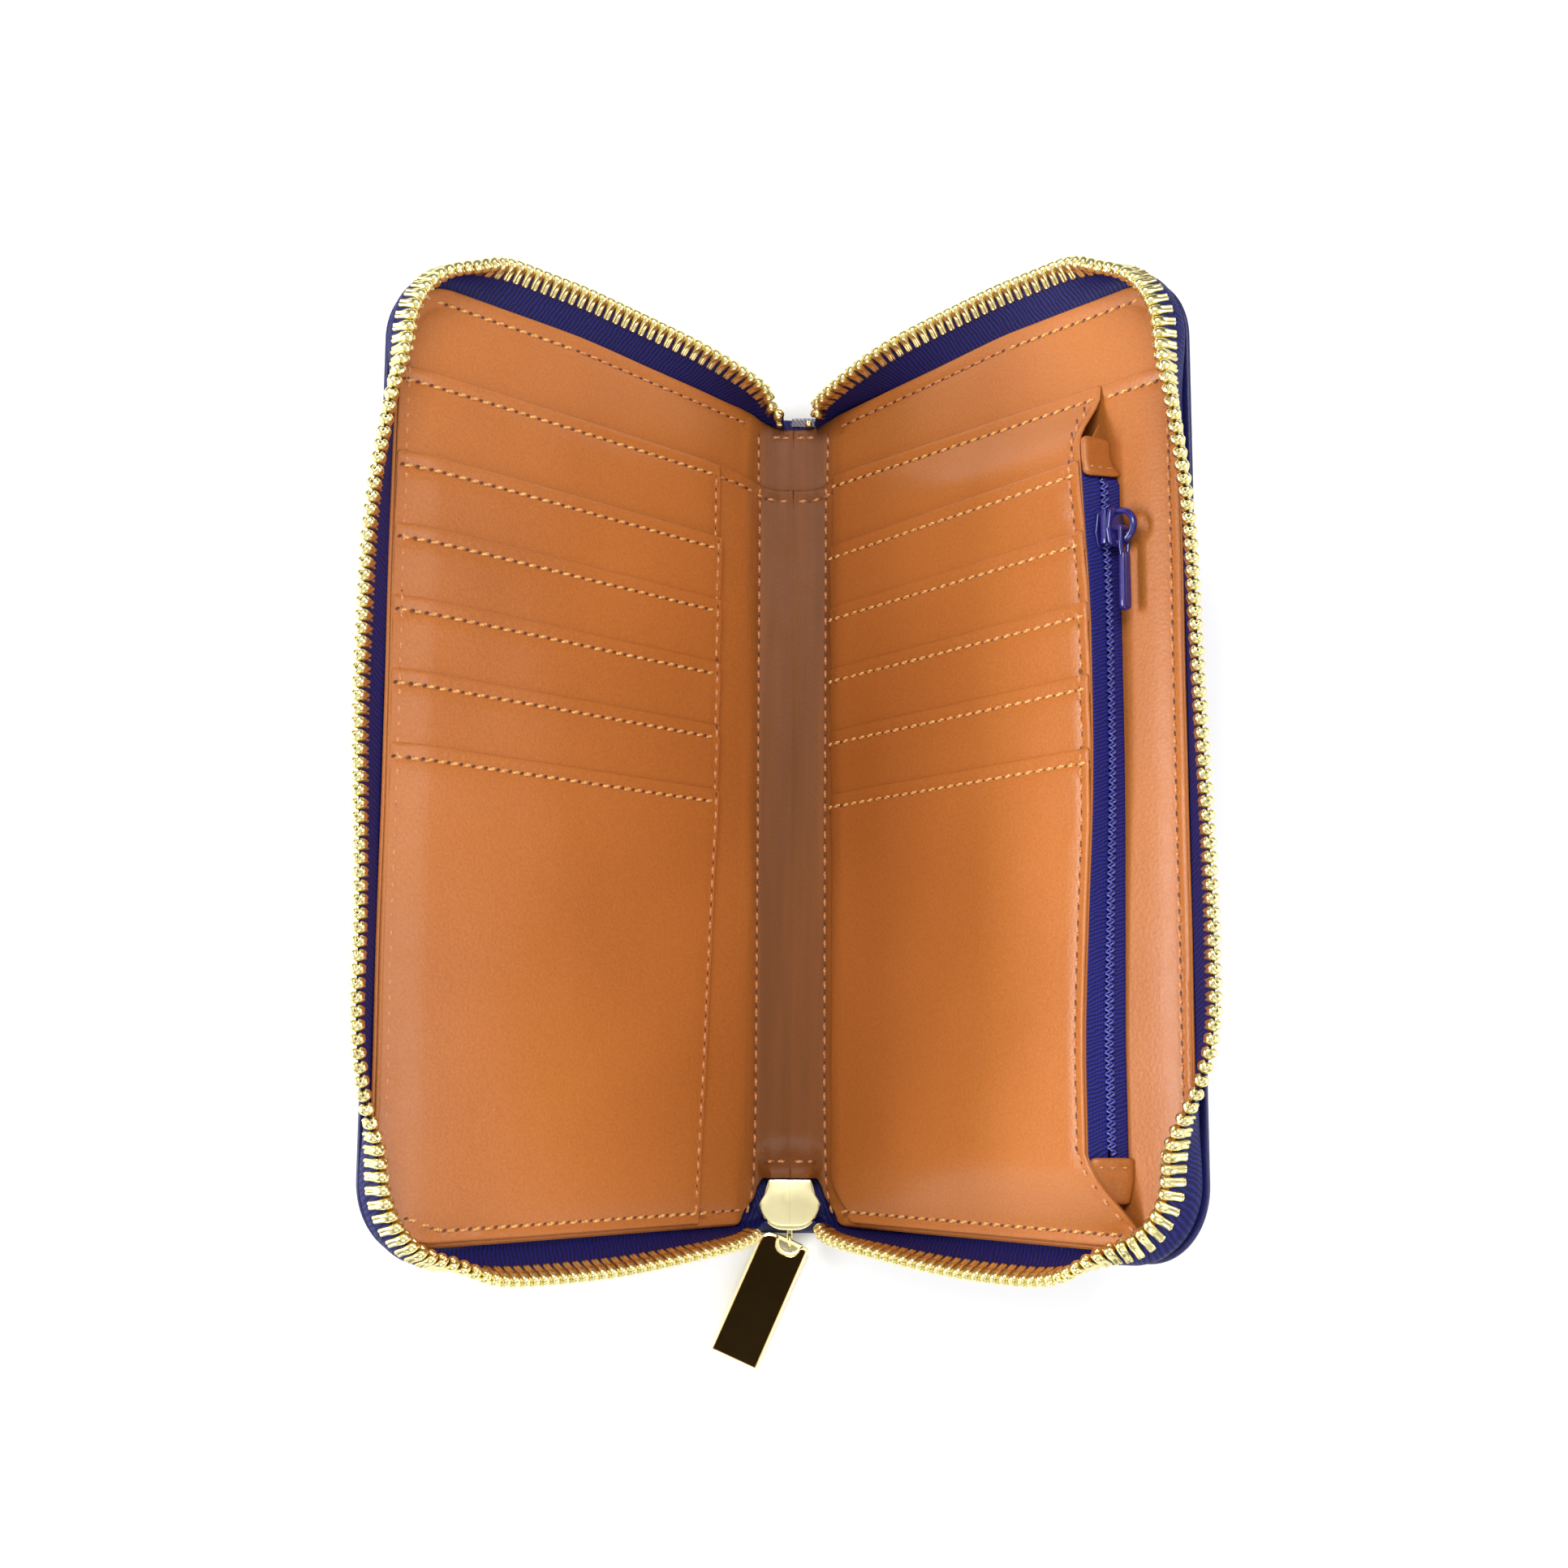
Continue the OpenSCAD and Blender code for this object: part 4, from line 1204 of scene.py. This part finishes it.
def build_pocket_zip():
    """Two tapes, the end gussets, a stitched leather tab over each end and the nylon coils."""
    first, last = CHAIN_BOTTOM - TAB_BOTTOM, CHAIN_TOP + TAB_TOP
    chain_b = CHAIN_H - WALL_LOW
    for name, rise in (("lower", (0.0, chain_b - 0.2)), ("upper", (chain_b + 0.2, WALL))):
        wall_piece("pocket_tape_" + name, (first, last), rise, -0.3, TAPE_THICK, POCKET_TAPE, "navy_tape",
                   "pocket_zip_tapes", 0.2)
    wall_piece("pocket_gusset_top", (last - 1.5, SLIP_TOP - 5.5), (0, WALL - 5.2), -2.8, LINING, TAN,
               "tan_leather", "pocket_end_gussets", 0.3)
    wall_piece("pocket_gusset_bottom", (BOTTOM + 2.4, first + 1.5), (0, WALL - 1.2), -2.6, LINING, TAN,
               "tan_leather", "pocket_end_gussets", 0.3)
    thread_parts = []
    for name, span, row_v in (("top", (CHAIN_TOP, last), CHAIN_TOP + 1.9),
                              ("bottom", (first, CHAIN_BOTTOM), CHAIN_BOTTOM - 1.9)):
        row = straight_row((row_v, 0.5), (row_v, WALL - 0.3))
        wall_piece("pocket_tab_leather_" + name, span, (-0.1, WALL + 0.1), 0.35, 1.5, TAN, "tan_leather",
                   "pocket_zip_tab_" + name, 1.2, [row], 0.2)
        at, ahead = resample(row, 2.0, 0.1, 0.1)
        shape, shape_faces = stitch_shape(1.4, 0.24)
        v = at[:, 0, None] + shape[None, :, 0] * ahead[:, 0, None] - shape[None, :, 1] * ahead[:, 1, None]
        b = at[:, 1, None] + shape[None, :, 0] * ahead[:, 1, None] + shape[None, :, 1] * ahead[:, 0, None]
        points = wall(v, b, 1.8 + shape[None, :, 2]).reshape(-1, 3)
        faces = [[i + k * len(shape) for i in f] for k in range(len(at)) for f in shape_faces]
        thread_parts.append((points, faces))
    on_cover(make("pocket_tab_stitches", *joined(thread_parts), SHADED_THREAD), 1, slot="tan_leather")
    # Each turn of a coil loops out from its tape and over the chain's middle
    coils = []
    turns = int((CHAIN_TOP - CHAIN_BOTTOM - 1) / COIL_PITCH)
    a = np.linspace(0, turns * 2 * math.pi, turns * 10)
    for s in SIDES:
        v = CHAIN_BOTTOM + 0.5 + a / (2 * math.pi) * COIL_PITCH + (COIL_PITCH / 2 if s > 0 else 0)
        b = chain_b + s * (0.3 - 0.3 * np.cos(a))
        coils.append(tube(wall(v, b, 0.7 + 0.36 * np.sin(a)), 0.24, 6))
    on_cover(make("pocket_coil_turns", *joined(coils), COIL), 1, "pocket_zip_coil", slot="navy_coil")


def on_wall(points):
    """Points as (along v, up the wall, out) from the pocket slider's middle, in millimetres."""
    points = np.asarray(points, float)
    return place(1, CHAIN_U + points[:, 2], POCKET_SLIDER_V + points[:, 0], CHAIN_H + points[:, 1])


def build_pocket_slider():
    """An enamelled slider with an arched bridge, and its narrow pull: eye, two arms and a sunk panel."""
    body = fillet_path([(-4.0, -2.0, 0.9), (-0.5, -2.75, 2), (4.0, -2.0, 0.9), (4.0, 2.0, 0.9), (-0.5, 2.75, 2),
                        (-4.0, 2.0, 0.9)], step=0.8)
    parts = [slab(body, 1.75, 2.85, 0.35, 0.15), slab(inset(body, 0.15), -1.35, -0.5, 0.25)]
    for s in SIDES:
        rail = [(-3.6, s * 2.3 - 0.35, 0.2), (3.6, s * 2.3 - 0.35, 0.2), (3.6, s * 2.3 + 0.35, 0.2),
                (-3.6, s * 2.3 + 0.35, 0.2)]
        parts.append(slab(fillet_path(rail, step=1), 0.6, 1.95, 0.15))
    wedge = [(0.7, -0.22, 0.1), (2.9, -0.22, 0.1), (2.9, 0.22, 0.1), (0.7, 0.22, 0.1)]
    parts.append(slab(fillet_path(wedge, step=1), -0.9, 1.9, 0.05))
    a = np.linspace(0, math.pi, 21)
    arch = np.column_stack([3.35 * np.cos(a), np.zeros(21), 2.6 + 4.5 * np.sin(a) ** 0.8])
    parts.append(tube(arch, 0.78, 12, 0.8))
    points, faces = joined(parts)
    solid("pocket_slider_body", (on_wall(points), faces), ENAMEL, "pocket_slider", "pocket_slider",
          slot="navy_metal", sharp=45)
    parts = [tube([(-0.6, y, 4.6) for y in (-1.3, -0.7, 0, 0.7, 1.3)], 0.62, 10)]
    for s in SIDES:
        parts.append(tube([(x, s * y, 4.6) for x, y in ((-0.6, 1.1), (-2.6, 1.15), (-4.6, 1.1), (-6.2, 0.8))],
                          0.48, 10))
    tab = fillet_path([(-17.6, -1.3, 1.1), (-5.4, -1.2, 0.7), (-5.4, 1.2, 0.7), (-17.6, 1.3, 1.1)], step=1)
    parts += [slab(tab, 3.9, 5.3, 0.35), slab(inset(tab, 0.6), 5.2, 5.42, 0.1)]
    points, faces = joined(parts)
    solid("pocket_pull_tab", (on_wall(points), faces), ENAMEL, "pocket_pull", "pocket_pull", slot="navy_metal",
          sharp=45)


# ------------------------------------------------------------------ scene

def build_camera():
    data = bpy.data.cameras.new("camera")
    data.lens = CAMERA_LENS
    data.sensor_width = 36
    data.clip_start = 0.02
    data.clip_end = 20
    camera = bpy.data.objects.new("camera", data)
    camera.location = CAMERA_PLACE
    camera.rotation_euler = (math.radians(90 - CAMERA_DIP), 0, math.radians(CAMERA_TURN))
    bpy.context.scene.collection.objects.link(camera)
    bpy.context.scene.camera = camera


def area_light(name, location, target, size, power):
    data = bpy.data.lights.new(name, "AREA")
    data.shape = "RECTANGLE"
    data.size, data.size_y = size
    data.energy = power
    light = bpy.data.objects.new(name, data)
    light.location = location
    light.rotation_euler = (Vector(target) - Vector(location)).to_track_quat("-Z", "Y").to_euler()
    bpy.context.scene.collection.objects.link(light)


def build_world():
    """A studio seen by elevation: dim low down, a bright ring high up and a dark spot overhead."""
    world = bpy.data.worlds.new("studio")
    world.use_nodes = True
    tree = world.node_tree
    background = tree.nodes["Background"]
    around = tree.nodes.new("ShaderNodeTexCoord")
    split = tree.nodes.new("ShaderNodeSeparateXYZ")
    ramp = tree.nodes.new("ShaderNodeValToRGB")
    tree.links.new(around.outputs["Generated"], split.inputs[0])
    tree.links.new(split.outputs["Z"], ramp.inputs["Fac"])
    tree.links.new(ramp.outputs["Color"], background.inputs["Color"])
    stops = [(at, (value, value, value, 1)) for at, value in
             ((0.0, 0.1), (0.35, 0.16), (0.75, 0.42), (0.88, 1.0), (0.96, 1.0))]
    fill_ramp(ramp.color_ramp, stops + [(0.986, (0.025, 0.025, 0.015, 1))])
    background.inputs["Strength"].default_value = 1.0
    bpy.context.scene.world = world
    bpy.context.scene.view_settings.view_transform = "Standard"


def build_stage():
    """A pale floor just under the case, and soft lights all round."""
    corners = [(x * 3000, y * 3000, -0.3) for x, y in ((-1, -1), (1, -1), (1, 1), (-1, 1))]
    s = Shader("pale_floor")
    s.colour(s.ramp(s.noise(3, 2), [(0.3, (0.9, 0.9, 0.9, 1)), (0.7, (0.93, 0.93, 0.93, 1))]))
    s.rough(s.noise(12, 2), 0.8, 0.95)
    floor = make("floor", corners, [[0, 1, 2, 3]], s.set(Specular_IOR_Level=0.1))
    area_light("left_softbox", (-0.88, -0.12, 0.44), (0.04, 0, 0.05), (0.8, 0.35), 5.4)
    area_light("left_strip", (-1.0, -0.05, 0.33), (0.07, 0, 0.06), (0.6, 0.16), 4.6)
    area_light("right_softbox", (0.8, -0.12, 0.54), (-0.03, 0, 0.04), (0.9, 0.5), 5.2)
    area_light("right_strip", (0.95, -0.25, 0.26), (-0.06, -0.03, 0.05), (0.6, 0.12), 0.3)
    area_light("front_softbox", (0.0, -0.9, 0.6), (0, 0, 0.02), (0.7, 0.4), 3.0)
    area_light("back_softbox", (-0.05, 0.5, 0.95), (0, 0, 0.03), (0.5, 0.35), 6.0)


build_camera()
build_world()
build_stage()
build_sheets()
build_stitches()
for side in SIDES:
    tape_inner, tape_outer = build_tape(side)
    build_teeth(side, tape_inner, tape_outer)
build_zip_ends()
build_main_slider()
build_main_pull()
build_pocket_zip()
build_pocket_slider()
for node in ("stiffener_left", "stiffener_right", "spine_stiffener"):
    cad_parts[node].data.materials.clear()
    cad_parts[node].data.materials.append(BOARD)
